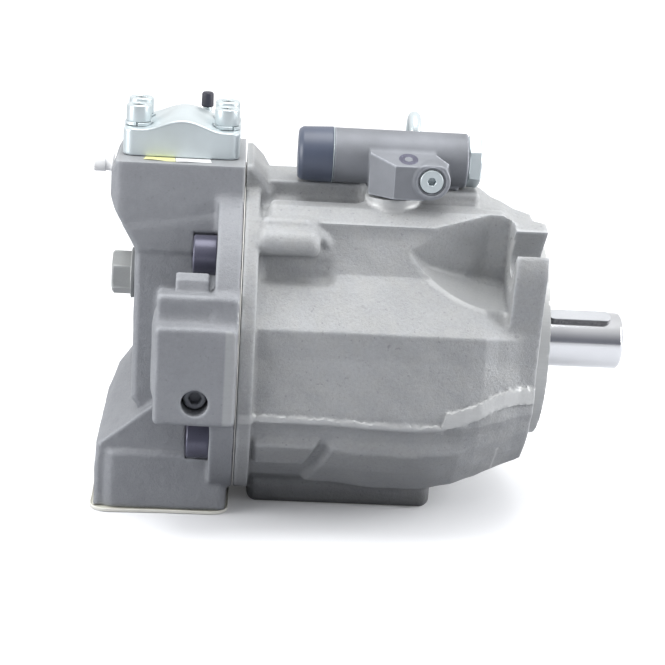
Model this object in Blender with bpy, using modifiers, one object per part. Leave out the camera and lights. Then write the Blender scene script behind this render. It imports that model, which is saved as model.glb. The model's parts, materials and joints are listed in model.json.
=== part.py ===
"""A variable axial piston pump of the swashplate kind, about 140 cm3 a turn, as an assembly of pieces.

The pump is laid out about its drive shaft. X runs along the shaft, with 0 at the mounting face and the free
end of the shaft at +X. Z runs up to the pressure port, and -Y is the side with the bolt pocket and the side
lug. One empty then carries the whole pump, so that the world's origin lies on the resting face, straight
under the pressure port.
"""

import math

import bmesh
import bpy

MM = 0.001

# running gap between pieces that touch, fit or slide
GAP = 0.3 * MM

# how finely round shapes are divided
LARGE_STEPS = 36
MEDIUM_STEPS = 24
SMALL_STEPS = 16
PISTON_STEPS = 12
COIL_STEPS = 8

# the rotating group's sizes, which the castings follow
PITCH_RADIUS = 52 * MM
PISTON_COUNT = 9
PISTON_RADIUS = 12.8 * MM
BLOCK_WALL = 6.2 * MM
BLOCK_RADIUS = PITCH_RADIUS + PISTON_RADIUS + BLOCK_WALL
BLOCK_CLEARANCE = 7 * MM
CAVITY_RADIUS = BLOCK_RADIUS + BLOCK_CLEARANCE

# places of the main planes, along X and Z from the mounting face and the shaft's axis
SPLIT_X = -223 * MM
PORT_AXIS_X = -273 * MM
PIVOT_X = -100 * MM
RIM_RADIUS = CAVITY_RADIUS + 50 * MM
PORT_FACE_Z = RIM_RADIUS + 11 * MM
SUCTION_FACE_Z = -RIM_RADIUS - 6 * MM

# mounting flange: two ears, each with an open slot on the bolt circle
PILOT_RADIUS = 76.2 * MM
PILOT_HEIGHT = 12.7 * MM
FLANGE_RADIUS = 97 * MM
FLANGE_THICKNESS = 24 * MM
BOLT_CIRCLE_RADIUS = 114.3 * MM
EAR_RADIUS = 31 * MM
EAR_ANGLE = math.radians(135)
SLOT_WIDTH = 20.6 * MM
POCKET_RADIUS = 36 * MM
POCKET_Y = -97 * MM
POCKET_Z = 80 * MM
POCKET_LENGTH = 80 * MM

# housing
BODY_RADIUS = RIM_RADIUS - 7 * MM
HOUSING_RIM_THICKNESS = 11 * MM
SHOULDER_LENGTH = 55 * MM
CAVITY_FRONT_X = -48 * MM
BOSS_RADIUS = 31 * MM
BOSS_FRONT_X = -108 * MM
VALVE_PAD_TOP_Z = BODY_RADIUS + 5 * MM
FOOT_LENGTH = 146 * MM
FOOT_WIDTH = 76 * MM
FOOT_CENTRE_X = -139 * MM
FOOT_TOP_Z = -94 * MM
GASKET_THICKNESS = 0.6 * MM

# port plate
PORT_RIM_THICKNESS = 18.4 * MM
REAR_FACE_X = -306 * MM
SPINE_HALF_WIDTH = 48 * MM
PAD_HALF_WIDTH = 52 * MM
PAD_OVERHANG = 21 * MM
PAD_DEPTH = 39 * MM
SUCTION_LENGTH = 102 * MM
SUCTION_REACH = 58 * MM
SUCTION_HALF_WIDTH = 66 * MM
SUCTION_DEPTH = 44 * MM
SPIGOT_HEIGHT = 5 * MM
LUG_LENGTH = 63 * MM
LUG_BOTTOM_Z = -44 * MM
LUG_TOP_Z = 31 * MM
LUG_FACE_Y = -RIM_RADIUS - 4 * MM
LUG_PORT_RADIUS = 10 * MM
LUG_PORT_DEPTH = 24 * MM
LUG_PORT_RISE = 19 * MM
PRESSURE_BORE_RADIUS = 15.9 * MM
SUCTION_BORE_RADIUS = 31.75 * MM
PRESSURE_PASSAGE_RADIUS = 10 * MM
SUCTION_PASSAGE_RADIUS = 13 * MM
PLATE_SCREW_Y = CAVITY_RADIUS - 11 * MM
PLATE_SCREW_Z = CAVITY_RADIUS - 5 * MM
PLATE_SCREW_RADIUS = 9.7 * MM
PLATE_SCREW_HEAD_RADIUS = 15 * MM
PLATE_SCREW_HEAD_HEIGHT = 20 * MM
PLATE_SCREW_GRIP = 26 * MM

# cover of the pressure port and its screws
COVER_LENGTH = 88 * MM
COVER_WIDTH = 72 * MM
COVER_THICKNESS = 18.5 * MM
DOME_HEIGHT = 14 * MM
DOME_RADIUS = 27 * MM
COVER_BOLTS_X = 66.7 * MM
COVER_BOLTS_Y = 31.8 * MM
COVER_SCREW_RADIUS = 6.35 * MM
COVER_SCREW_HEAD_RADIUS = 9.5 * MM
COVER_SCREW_HEAD_HEIGHT = 12.7 * MM
COVER_SCREW_GRIP = 27 * MM
WASHER_RADIUS = 10.4 * MM
WASHER_THICKNESS = 3 * MM

# lid of the suction port
LID_THICKNESS = 2 * MM
LID_MARGIN = 3 * MM
LID_STUB_LENGTH = 10 * MM

# plugs in the castings
REAR_PLUG_Z = 38.5 * MM
REAR_PLUG_HEX_RADIUS = 17.5 * MM
REAR_PLUG_HEIGHT = 18 * MM
REAR_PLUG_SHANK_RADIUS = 12 * MM
REAR_PLUG_SHANK_LENGTH = 13 * MM
FAR_PLUG_Y = 30 * MM
FAR_PLUG_Z = PORT_FACE_Z - 20 * MM
FAR_PLUG_RADIUS = 7.3 * MM
FAR_PLUG_HEIGHT = 16 * MM
FAR_PLUG_SHANK_LENGTH = 10 * MM
GAUGE_CAP_X = -256 * MM
GAUGE_CAP_Y = 44 * MM
GAUGE_CAP_RADIUS = 4.4 * MM
GAUGE_CAP_HEIGHT = 37 * MM
GAUGE_CAP_BASE_HEIGHT = 8 * MM
GAUGE_CAP_SHANK_LENGTH = 9 * MM
LUG_PLUG_LENGTH = 12 * MM

# control valve
VALVE_Y = -35 * MM
VALVE_Z = VALVE_PAD_TOP_Z + 21.5 * MM
VALVE_RADIUS = 20.5 * MM
VALVE_REAR_X = -155 * MM
VALVE_LENGTH = 97 * MM
VALVE_FACE_Y = -72 * MM
VALVE_CAP_RADIUS = 21 * MM
VALVE_CAP_LENGTH = 30 * MM
VALVE_CAP_WALL = 5 * MM
VALVE_PLUG_X = -87 * MM
VALVE_PLUG_Z = VALVE_Z - 9.5 * MM
VALVE_PLUG_RADIUS = 9 * MM
VALVE_PLUG_LENGTH = 12 * MM
VALVE_END_HEX_RADIUS = 20.5 * MM
VALVE_END_HEIGHT = 10 * MM
VALVE_END_SHANK_LENGTH = 12 * MM
VALVE_END_SHANK_RADIUS = 12.5 * MM
SPOOL_RADIUS = 6 * MM
SPOOL_LENGTH = 62 * MM
SPOOL_TRAVEL = 3 * MM
VALVE_SPRING_WIRE = 1.5 * MM
VALVE_SPRING_TURNS = 5

# lifting eye
EYE_X = -93 * MM
EYE_Y = 32 * MM
EYE_SEAT_Z = BODY_RADIUS - 2 * MM
EYE_RING_Z = EYE_SEAT_Z + 32 * MM
EYE_RING_RADIUS = 15.5 * MM
EYE_WIRE_RADIUS = 4.5 * MM
EYE_SHANK_RADIUS = 5.9 * MM
EYE_SHANK_LENGTH = 20 * MM
EYE_COLLAR_RADIUS = 11 * MM

# drive shaft and its key
SHAFT_RADIUS = 22.225 * MM
SHAFT_END_X = 80 * MM
SHAFT_REAR_X = -262 * MM
SHAFT_CHAMFER = 2 * MM
FRONT_JOURNAL_RADIUS = 25 * MM
COLLAR_RADIUS = 28 * MM
COLLAR_LENGTH = 8 * MM
SPLINE_RADIUS = 20 * MM
REAR_JOURNAL_RADIUS = 15 * MM
KEY_WIDTH = 11.1 * MM
KEY_HEIGHT = 10 * MM
KEY_LENGTH = 50 * MM
KEY_PROUD = 4.4 * MM
KEY_END_X = 70 * MM
KEY_ANGLE = math.radians(27)

# bearings and shaft seal
FRONT_BEARING_RADIUS = 40 * MM
FRONT_BEARING_LENGTH = 21 * MM
REAR_BEARING_RADIUS = 28 * MM
REAR_BEARING_LENGTH = 22 * MM
REAR_BEARING_X = -258 * MM
BEARING_TAPER = 3 * MM
BEARING_GAP = 0.5 * MM
SEAL_RADIUS = 31 * MM
SEAL_LENGTH = 10 * MM
SEAL_REAR_X = -17 * MM
RETAINING_RING_THICKNESS = 2 * MM
RETAINING_RING_DEPTH = 1.6 * MM
RETAINING_RING_WIDTH = 4 * MM
SHAFT_PASSAGE_RADIUS = 28 * MM

# rotating group
PISTON_LENGTH = 56 * MM
PISTON_NECK_LENGTH = 16 * MM
PISTON_NECK_RADIUS = 6 * MM
BALL_RADIUS = 8.5 * MM
BALL_CLEARANCE = 0.65 * MM
BLOCK_FRONT_X = -128 * MM
BLOCK_LENGTH = 84 * MM
BORE_DEPTH = 66 * MM
BLOCK_PORT_RADIUS = 7 * MM
NOSE_RADIUS = 27 * MM
NOSE_LENGTH = 5.5 * MM
SLIPPER_SPACING = 2.97 * MM
SLIPPER_RADIUS = PITCH_RADIUS * math.sin(math.pi / PISTON_COUNT) - SLIPPER_SPACING / 2
SLIPPER_NECK_RADIUS = 11.5 * MM
SLIPPER_FOOT = 4 * MM
SLIPPER_WRAP = 3 * MM
RUNNING_FACE_OFFSET = 9.3 * MM
RETAINER_RADIUS = PITCH_RADIUS + 18 * MM
RETAINER_THICKNESS = 3.5 * MM
RETAINER_HOLE_PLAY = 2.7 * MM
RETAINER_BALL_RADIUS = 28 * MM
RETAINER_COLLAR_WALL = 3 * MM
VALVE_PLATE_RADIUS = PITCH_RADIUS + 14 * MM
VALVE_PLATE_BORE = 24 * MM
KIDNEY_HALF_WIDTH = 7 * MM
KIDNEY_BRIDGE = 16 * MM

# swash plate and its cradle
SWASH_RADIUS = BLOCK_RADIUS
SWASH_THICKNESS = 14.7 * MM
SWASH_BORE = 33 * MM
CRADLE_RADIUS = 46 * MM
CRADLE_HALF_WIDTH = 62 * MM
CRADLE_INNER_Y = 34 * MM
CRADLE_SHELL = 2.5 * MM
CRADLE_SEAT_FRONT_X = -62 * MM
CRADLE_SEAT_HALF_HEIGHT = 38 * MM
LEVER_HALF_WIDTH = 11 * MM
LEVER_THICKNESS = 8.5 * MM
LEVER_REACH = 104 * MM

# control and return pistons
CONTROL_Z = CAVITY_RADIUS + 19 * MM
CONTROL_RADIUS = 12 * MM
CONTROL_SKIRT_FRONT_X = -128 * MM
CONTROL_SKIRT_LENGTH = 44 * MM
CONTROL_BORE_END_X = -208 * MM
RETURN_SKIRT_LENGTH = 50 * MM
NOSE_BALL_RADIUS = 8 * MM
LEVER_POCKET_HALF_WIDTH = 22 * MM
LEVER_POCKET_TOP = 112 * MM
RETURN_SPRING_WIRE = 3.6 * MM
RETURN_SPRING_TURNS = 6

# the castings' joint, from the housing to the port plate
HOUSING_REAR_X = SPLIT_X
GASKET_FRONT_X = HOUSING_REAR_X - GAP
GASKET_REAR_X = GASKET_FRONT_X - GASKET_THICKNESS
PLATE_FRONT_X = GASKET_REAR_X - GAP
PLATE_RIM_REAR_X = PLATE_FRONT_X - PORT_RIM_THICKNESS
SPIGOT_X = PLATE_FRONT_X + SPIGOT_HEIGHT
LID_BOTTOM_Z = SUCTION_FACE_Z - GAP - LID_THICKNESS

AXIS_TURNS = {"X": (0, math.pi / 2, 0), "Y": (-math.pi / 2, 0, 0), "Z": (0, 0, 0)}


def empty_scene():
    """Removes every object that the scene holds."""
    for old in list(bpy.data.objects):
        bpy.data.objects.remove(old, do_unlink=True)


def new_collection(name):
    """A collection of the scene."""
    collection = bpy.data.collections.new(name)
    bpy.context.scene.collection.children.link(collection)
    return collection


empty_scene()
PARTS = new_collection("axial_piston_pump")
CUTTERS = new_collection("cutters")
FRAME = bpy.data.objects.new("pump_frame", None)
FRAME.location = (-PORT_AXIS_X, 0, -LID_BOTTOM_Z)
PARTS.objects.link(FRAME)


def make_material(name, colour, roughness, metallic):
    """A plain surface of one colour."""
    material = bpy.data.materials.new(name)
    material.use_nodes = True
    shader = material.node_tree.nodes["Principled BSDF"]
    shader.inputs["Base Color"].default_value = (*colour, 1)
    shader.inputs["Roughness"].default_value = roughness
    shader.inputs["Metallic"].default_value = metallic
    return material


CAST_IRON = make_material("cast_iron", (0.36, 0.36, 0.34), 0.6, 0.5)
PLATE_IRON = make_material("plate_iron", (0.27, 0.28, 0.31), 0.6, 0.5)
ZINC = make_material("zinc", (0.66, 0.69, 0.71), 0.38, 0.8)
BLACK_STEEL = make_material("black_steel", (0.05, 0.05, 0.06), 0.45, 0.6)
VALVE_STEEL = make_material("valve_steel", (0.22, 0.23, 0.25), 0.45, 0.6)
POLISHED_STEEL = make_material("polished_steel", (0.75, 0.76, 0.78), 0.2, 1.0)
BEARING_STEEL = make_material("bearing_steel", (0.62, 0.63, 0.65), 0.25, 1.0)
SPRING_STEEL = make_material("spring_steel", (0.4, 0.42, 0.45), 0.35, 1.0)
BRONZE = make_material("bronze", (0.56, 0.4, 0.2), 0.35, 0.9)
BLACK_PLASTIC = make_material("black_plastic", (0.03, 0.03, 0.05), 0.5, 0.0)
YELLOW_PLASTIC = make_material("yellow_plastic", (0.75, 0.68, 0.45), 0.5, 0.0)
WHITE_PLASTIC = make_material("white_plastic", (0.85, 0.85, 0.82), 0.5, 0.0)
RUBBER = make_material("rubber", (0.04, 0.04, 0.04), 0.8, 0.0)
GASKET_PAPER = make_material("gasket_paper", (0.7, 0.69, 0.64), 0.9, 0.0)


def add_object(name, mesh, where, turn, material):
    """An object of the pump, or a hidden cutter or joined piece if it has no material."""
    obj = bpy.data.objects.new(name, mesh)
    obj.location = where
    obj.rotation_euler = turn
    obj.parent = FRAME
    if material:
        mesh.materials.append(material)
        PARTS.objects.link(obj)
    else:
        CUTTERS.objects.link(obj)
        obj.hide_render = True
        obj.display_type = "WIRE"
    return obj


def mesh_from(bm, name):
    """Turns a bmesh into a mesh and frees it."""
    mesh = bpy.data.meshes.new(name)
    bm.to_mesh(mesh)
    bm.free()
    return mesh


def box(name, low, high, material=None, turn=(0, 0, 0), bevel=0):
    """A box between two corners; it turns about its middle."""
    bm = bmesh.new()
    bmesh.ops.create_cube(bm, size=1)
    sides = [b - a for a, b in zip(low, high)]
    bmesh.ops.scale(bm, vec=sides, verts=bm.verts)
    middle = [(a + b) / 2 for a, b in zip(low, high)]
    obj = add_object(name, mesh_from(bm, name), middle, turn, material)
    if bevel:
        rounding = obj.modifiers.new("rounding", "BEVEL")
        rounding.width = bevel
        rounding.segments = 1
    return obj


def rod(name, radius, start, end, axis="X", across=(0, 0), material=None, steps=SMALL_STEPS):
    """A cylinder between two places on an axis; across gives its place along the other two axes."""
    bm = bmesh.new()
    length = end - start
    bmesh.ops.create_cone(bm, cap_ends=True, segments=steps, radius1=radius, radius2=radius, depth=length)
    middle = (start + end) / 2
    first, second = across
    where = {"X": (middle, first, second), "Y": (first, middle, second), "Z": (first, second, middle)}[axis]
    return add_object(name, mesh_from(bm, name), where, AXIS_TURNS[axis], material)


def turned(name, outline, where=(0, 0, 0), axis="X", material=None, steps=MEDIUM_STEPS):
    """A turned piece. The outline is (place along the axis, radius) points from the far end to the near end.

    An outline that starts on the axis makes a solid piece. Any other outline is closed into a ring.
    """
    points = [(radius, 0, along) for along, radius in outline]
    edges = [(i, i + 1) for i in range(len(points) - 1)]
    if outline[0][1] > 0:
        edges.append((len(points) - 1, 0))
    mesh = bpy.data.meshes.new(name)
    mesh.from_pydata(points, edges, [])
    obj = add_object(name, mesh, where, AXIS_TURNS[axis], material)
    screw = obj.modifiers.new("turning", "SCREW")
    screw.steps = steps
    screw.render_steps = steps
    screw.use_merge_vertices = True
    screw.merge_threshold = 0.00005
    return obj


def prism(name, outline, start, end, axis="Y", material=None):
    """A flat outline drawn out along an axis: points (X, Z) for a prism along Y, (Y, Z) for one along X."""
    curve = bpy.data.curves.new(name, "CURVE")
    curve.dimensions = "2D"
    curve.fill_mode = "BOTH"
    curve.extrude = (end - start) / 2
    spline = curve.splines.new("POLY")
    spline.points.add(len(outline) - 1)
    for point, (across, up) in zip(spline.points, outline):
        point.co = (across, up, 0, 1)
    spline.use_cyclic_u = True
    drawn = bpy.data.objects.new(name, curve)
    CUTTERS.objects.link(drawn)
    bpy.context.view_layer.update()
    solid = bpy.data.meshes.new_from_object(drawn.evaluated_get(bpy.context.evaluated_depsgraph_get()))
    bpy.data.objects.remove(drawn, do_unlink=True)
    bm = bmesh.new()
    bm.from_mesh(solid)
    bmesh.ops.remove_doubles(bm, verts=bm.verts, dist=0.00001)
    bmesh.ops.recalc_face_normals(bm, faces=bm.faces)
    middle = (start + end) / 2
    where = (0, middle, 0) if axis == "Y" else (middle, 0, 0)
    turn = (math.pi / 2, 0, 0) if axis == "Y" else (math.pi / 2, 0, math.pi / 2)
    return add_object(name, mesh_from(bm, name), where, turn, material)


def combine(target, other, operation):
    """Cuts another solid from the target, or joins it on."""
    modifier = target.modifiers.new(other.name, "BOOLEAN")
    modifier.operation = operation
    modifier.solver = "EXACT"
    modifier.object = other
    return target


def cut(target, *cutters):
    """Cuts each cutter from the target."""
    for cutter in cutters:
        combine(target, cutter, "DIFFERENCE")
    return target


def join(target, *pieces):
    """Joins each piece to the target."""
    for piece in pieces:
        combine(target, piece, "UNION")
    return target


def hexagon(name, radius, start, end, axis, across, material=None):
    """A hexagonal prism; the radius is to its corners."""
    return rod(name, radius, start, end, axis, across, material, steps=6)


def ball_outline(radius, first, last, count):
    """Points (along, radius) of a ball about 0, from one angle to another; 0 degrees is along the axis."""
    step = (last - first) / (count - 1)
    angles = [math.radians(first + step * i) for i in range(count)]
    return [(radius * math.cos(a), max(0.0, radius * math.sin(a))) for a in angles]


def coil(name, radius, wire, start, end, turns, across, material):
    """A helical spring along X, with its ends inside the given length."""
    curve = bpy.data.curves.new(name, "CURVE")
    curve.dimensions = "3D"
    curve.bevel_depth = wire / 2
    curve.bevel_resolution = 1
    curve.use_fill_caps = True
    spline = curve.splines.new("POLY")
    count = turns * COIL_STEPS
    spline.points.add(count)
    length = end - start - wire
    for i, point in enumerate(spline.points):
        angle = 2 * math.pi * i / COIL_STEPS
        along = start + wire / 2 + length * i / count
        point.co = (along, radius * math.cos(angle), radius * math.sin(angle), 1)
    obj = bpy.data.objects.new(name, curve)
    curve.materials.append(material)
    obj.location = (0, *across)
    obj.parent = FRAME
    PARTS.objects.link(obj)
    return obj


def mirrored_pairs(y, z):
    """The four places (+-y, +-z), numbered from the near upper one round."""
    return [(-y, z), (-y, -z), (y, -z), (y, z)]


def flange_outline():
    """The mounting flange seen along X: a disc drawn out to two round ears on opposite sides."""
    spread = math.acos((FLANGE_RADIUS - EAR_RADIUS) / BOLT_CIRCLE_RADIUS)
    points = []
    for ear in (EAR_ANGLE, EAR_ANGLE + math.pi):
        middle = (BOLT_CIRCLE_RADIUS * math.cos(ear), BOLT_CIRCLE_RADIUS * math.sin(ear))
        for i in range(13):
            angle = ear - spread + 2 * spread * i / 12
            out = (EAR_RADIUS * math.cos(angle), EAR_RADIUS * math.sin(angle))
            points.append((middle[0] + out[0], middle[1] + out[1]))
        rest = math.pi - 2 * spread
        for i in range(9):
            angle = ear + spread + rest * i / 8
            points.append((FLANGE_RADIUS * math.cos(angle), FLANGE_RADIUS * math.sin(angle)))
    return points


def cut_mounting_slots(housing):
    """The two open slots of the flange, and the pockets behind them that make room for the bolt heads."""
    for number, side in enumerate((1, -1), 1):
        middle_y = side * BOLT_CIRCLE_RADIUS * math.cos(EAR_ANGLE)
        middle_z = side * BOLT_CIRCLE_RADIUS * math.sin(EAR_ANGLE)
        slot = rod(f"slot_round_{number}", SLOT_WIDTH / 2, -2 * FLANGE_THICKNESS, FLANGE_THICKNESS,
                   across=(middle_y, middle_z))
        out = 2 * EAR_RADIUS
        mouth = box(f"slot_mouth_{number}", (-2 * FLANGE_THICKNESS, 0, -SLOT_WIDTH / 2),
                    (FLANGE_THICKNESS, out, SLOT_WIDTH / 2), turn=(EAR_ANGLE, 0, 0))
        reach = side * (BOLT_CIRCLE_RADIUS + out / 2)
        mouth.location = (-FLANGE_THICKNESS / 2, reach * math.cos(EAR_ANGLE), reach * math.sin(EAR_ANGLE))
        pocket = rod(f"bolt_pocket_{number}", POCKET_RADIUS, -FLANGE_THICKNESS - POCKET_LENGTH,
                     -FLANGE_THICKNESS, across=(side * POCKET_Y, side * POCKET_Z), steps=MEDIUM_STEPS)
        cut(housing, pocket, slot, mouth)


def build_housing():
    """The main casting: flange with pilot, body, bosses, foot, and the bores for everything inside."""
    outline = [
        (PILOT_HEIGHT, 0),
        (PILOT_HEIGHT, PILOT_RADIUS),
        (-FLANGE_THICKNESS / 3, PILOT_RADIUS),
        (-FLANGE_THICKNESS / 2, FLANGE_RADIUS - GAP),
        (-SHOULDER_LENGTH, BODY_RADIUS),
        (HOUSING_REAR_X + HOUSING_RIM_THICKNESS, BODY_RADIUS),
        (HOUSING_REAR_X + HOUSING_RIM_THICKNESS, RIM_RADIUS),
        (HOUSING_REAR_X, RIM_RADIUS),
        (HOUSING_REAR_X, 0),
    ]
    housing = turned("pump_housing", outline, material=CAST_IRON, steps=LARGE_STEPS)
    boss_rear_x = HOUSING_REAR_X + HOUSING_RIM_THICKNESS / 2
    foot_front_x = FOOT_CENTRE_X + FOOT_LENGTH / 2
    join(
        housing,
        prism("flange_ears", flange_outline(), -FLANGE_THICKNESS, 0, axis="X"),
        rod("control_boss", BOSS_RADIUS, boss_rear_x, BOSS_FRONT_X, across=(0, CONTROL_Z)),
        rod("return_boss", BOSS_RADIUS, boss_rear_x, BOSS_FRONT_X, across=(0, -CONTROL_Z)),
        box("valve_pad", (VALVE_REAR_X, VALVE_Y - VALVE_RADIUS, CAVITY_RADIUS + 2 * GAP),
            (VALVE_REAR_X + VALVE_LENGTH, VALVE_Y + VALVE_RADIUS, VALVE_PAD_TOP_Z)),
        box("foot", (foot_front_x - FOOT_LENGTH, -FOOT_WIDTH / 2, LID_BOTTOM_Z),
            (foot_front_x, FOOT_WIDTH / 2, FOOT_TOP_Z), bevel=4 * MM),
        rod("eye_boss", EYE_COLLAR_RADIUS + 2 * MM, CAVITY_RADIUS + 10 * MM, EYE_SEAT_Z, "Z", (EYE_X, EYE_Y)),
    )
    cut_mounting_slots(housing)
    cut_housing_inside(housing)
    return housing


def cut_housing_inside(housing):
    """The main cavity with its cradle seats, the shaft's bores, the control bores and the threaded holes."""
    cavity = rod("cavity", CAVITY_RADIUS, HOUSING_REAR_X - MM, CAVITY_FRONT_X, steps=LARGE_STEPS)
    for number, side in enumerate((-1, 1), 1):
        inner, outer = sorted((side * (CRADLE_INNER_Y - MM), side * (CRADLE_HALF_WIDTH + MM)))
        seat = box(f"cradle_seat_{number}", (CRADLE_SEAT_FRONT_X, inner, -CRADLE_SEAT_HALF_HEIGHT),
                   (CAVITY_FRONT_X + MM, outer, CRADLE_SEAT_HALF_HEIGHT))
        cut(cavity, seat)
    sweep = rod("cradle_sweep", CRADLE_RADIUS + CRADLE_SHELL + 2 * GAP, -CRADLE_HALF_WIDTH - 2 * MM,
                CRADLE_HALF_WIDTH + 2 * MM, "Y", (PIVOT_X, 0), steps=LARGE_STEPS)
    lever_pocket = box("lever_pocket", (CONTROL_SKIRT_FRONT_X, -LEVER_POCKET_HALF_WIDTH, -LEVER_POCKET_TOP),
                       (CAVITY_FRONT_X + MM, LEVER_POCKET_HALF_WIDTH, LEVER_POCKET_TOP))
    bearing_front_x = CAVITY_FRONT_X + FRONT_BEARING_LENGTH
    shaft_bore = turned("shaft_bore", [
        (PILOT_HEIGHT + MM, 0),
        (PILOT_HEIGHT + MM, SEAL_RADIUS),
        (SEAL_REAR_X, SEAL_RADIUS),
        (SEAL_REAR_X, SHAFT_PASSAGE_RADIUS),
        (bearing_front_x, SHAFT_PASSAGE_RADIUS),
        (bearing_front_x, FRONT_BEARING_RADIUS),
        (CAVITY_FRONT_X - MM, FRONT_BEARING_RADIUS),
        (CAVITY_FRONT_X - MM, 0),
    ])
    ring_rear_x = SEAL_REAR_X + SEAL_LENGTH + 2 * GAP
    ring_groove = rod("ring_groove", SEAL_RADIUS + RETAINING_RING_DEPTH, ring_rear_x,
                      ring_rear_x + RETAINING_RING_THICKNESS + 2 * GAP, steps=MEDIUM_STEPS)
    bore = CONTROL_RADIUS + GAP
    control_bore = rod("control_bore", bore, CONTROL_BORE_END_X, PIVOT_X, across=(0, CONTROL_Z))
    return_bore = rod("return_bore", bore, CONTROL_BORE_END_X, PIVOT_X, across=(0, -CONTROL_Z))
    eye_hole = rod("eye_hole", EYE_SHANK_RADIUS + GAP, EYE_SEAT_Z - EYE_SHANK_LENGTH - 2 * MM,
                   EYE_SEAT_Z + MM, "Z", (EYE_X, EYE_Y))
    cut(housing, cavity, sweep, lever_pocket, shaft_bore, ring_groove, control_bore, return_bore, eye_hole)
    for number, place in enumerate(mirrored_pairs(PLATE_SCREW_Y, PLATE_SCREW_Z), 1):
        thread = rod(f"plate_thread_{number}", PLATE_SCREW_RADIUS + GAP,
                     HOUSING_REAR_X - MM, HOUSING_REAR_X + PLATE_SCREW_GRIP + 2 * MM, across=place)
        cut(housing, thread)


def build_port_plate():
    """The rear casting: rim, spine, pressure pad, side lug and suction block, with its passages and holes."""
    rim = turned("port_plate", [
        (SPIGOT_X, 0),
        (SPIGOT_X, CAVITY_RADIUS - GAP),
        (PLATE_FRONT_X, CAVITY_RADIUS - GAP),
        (PLATE_FRONT_X, RIM_RADIUS),
        (PLATE_RIM_REAR_X, RIM_RADIUS),
        (PLATE_RIM_REAR_X, 0),
    ], material=PLATE_IRON, steps=LARGE_STEPS)
    pad_bottom_z = PORT_FACE_Z - PAD_DEPTH
    block_top_z = SUCTION_FACE_Z + SUCTION_DEPTH
    block_rear_x = PORT_AXIS_X - SUCTION_REACH
    front_x = PLATE_RIM_REAR_X + PORT_RIM_THICKNESS / 2
    pad_rear_x = REAR_FACE_X - PAD_OVERHANG
    spine = [
        (front_x, pad_bottom_z + 5 * MM),
        (REAR_FACE_X - PAD_OVERHANG / 2, pad_bottom_z + 2 * MM),
        (REAR_FACE_X, PLATE_SCREW_Z),
        (REAR_FACE_X, -22 * MM),
        (REAR_FACE_X - 0.9 * (REAR_FACE_X - block_rear_x), -62 * MM),
        (block_rear_x + MM, block_top_z - 5 * MM),
        (front_x, block_top_z - 5 * MM),
    ]
    pad = [
        (PLATE_FRONT_X, PORT_FACE_Z),
        (pad_rear_x + PAD_OVERHANG / 2, PORT_FACE_Z),
        (pad_rear_x, PORT_FACE_Z - 6 * MM),
        (pad_rear_x, PORT_FACE_Z - 26 * MM),
        (pad_rear_x + PAD_OVERHANG / 3, pad_bottom_z),
        (PLATE_FRONT_X, pad_bottom_z),
    ]
    lug_rear_x = PLATE_FRONT_X - LUG_LENGTH
    suction_low = (block_rear_x, -SUCTION_HALF_WIDTH, SUCTION_FACE_Z)
    suction_high = (block_rear_x + SUCTION_LENGTH, SUCTION_HALF_WIDTH, block_top_z)
    join(
        rim,
        prism("spine", spine, -SPINE_HALF_WIDTH, SPINE_HALF_WIDTH),
        prism("pressure_pad", pad, -PAD_HALF_WIDTH, PAD_HALF_WIDTH),
        box("suction_block", suction_low, suction_high, bevel=6 * MM),
        box("side_lug", (lug_rear_x, LUG_FACE_Y, LUG_BOTTOM_Z),
            (PLATE_FRONT_X, -SPINE_HALF_WIDTH / 2, LUG_TOP_Z)),
    )
    cut_port_plate(rim)
    return rim


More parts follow.
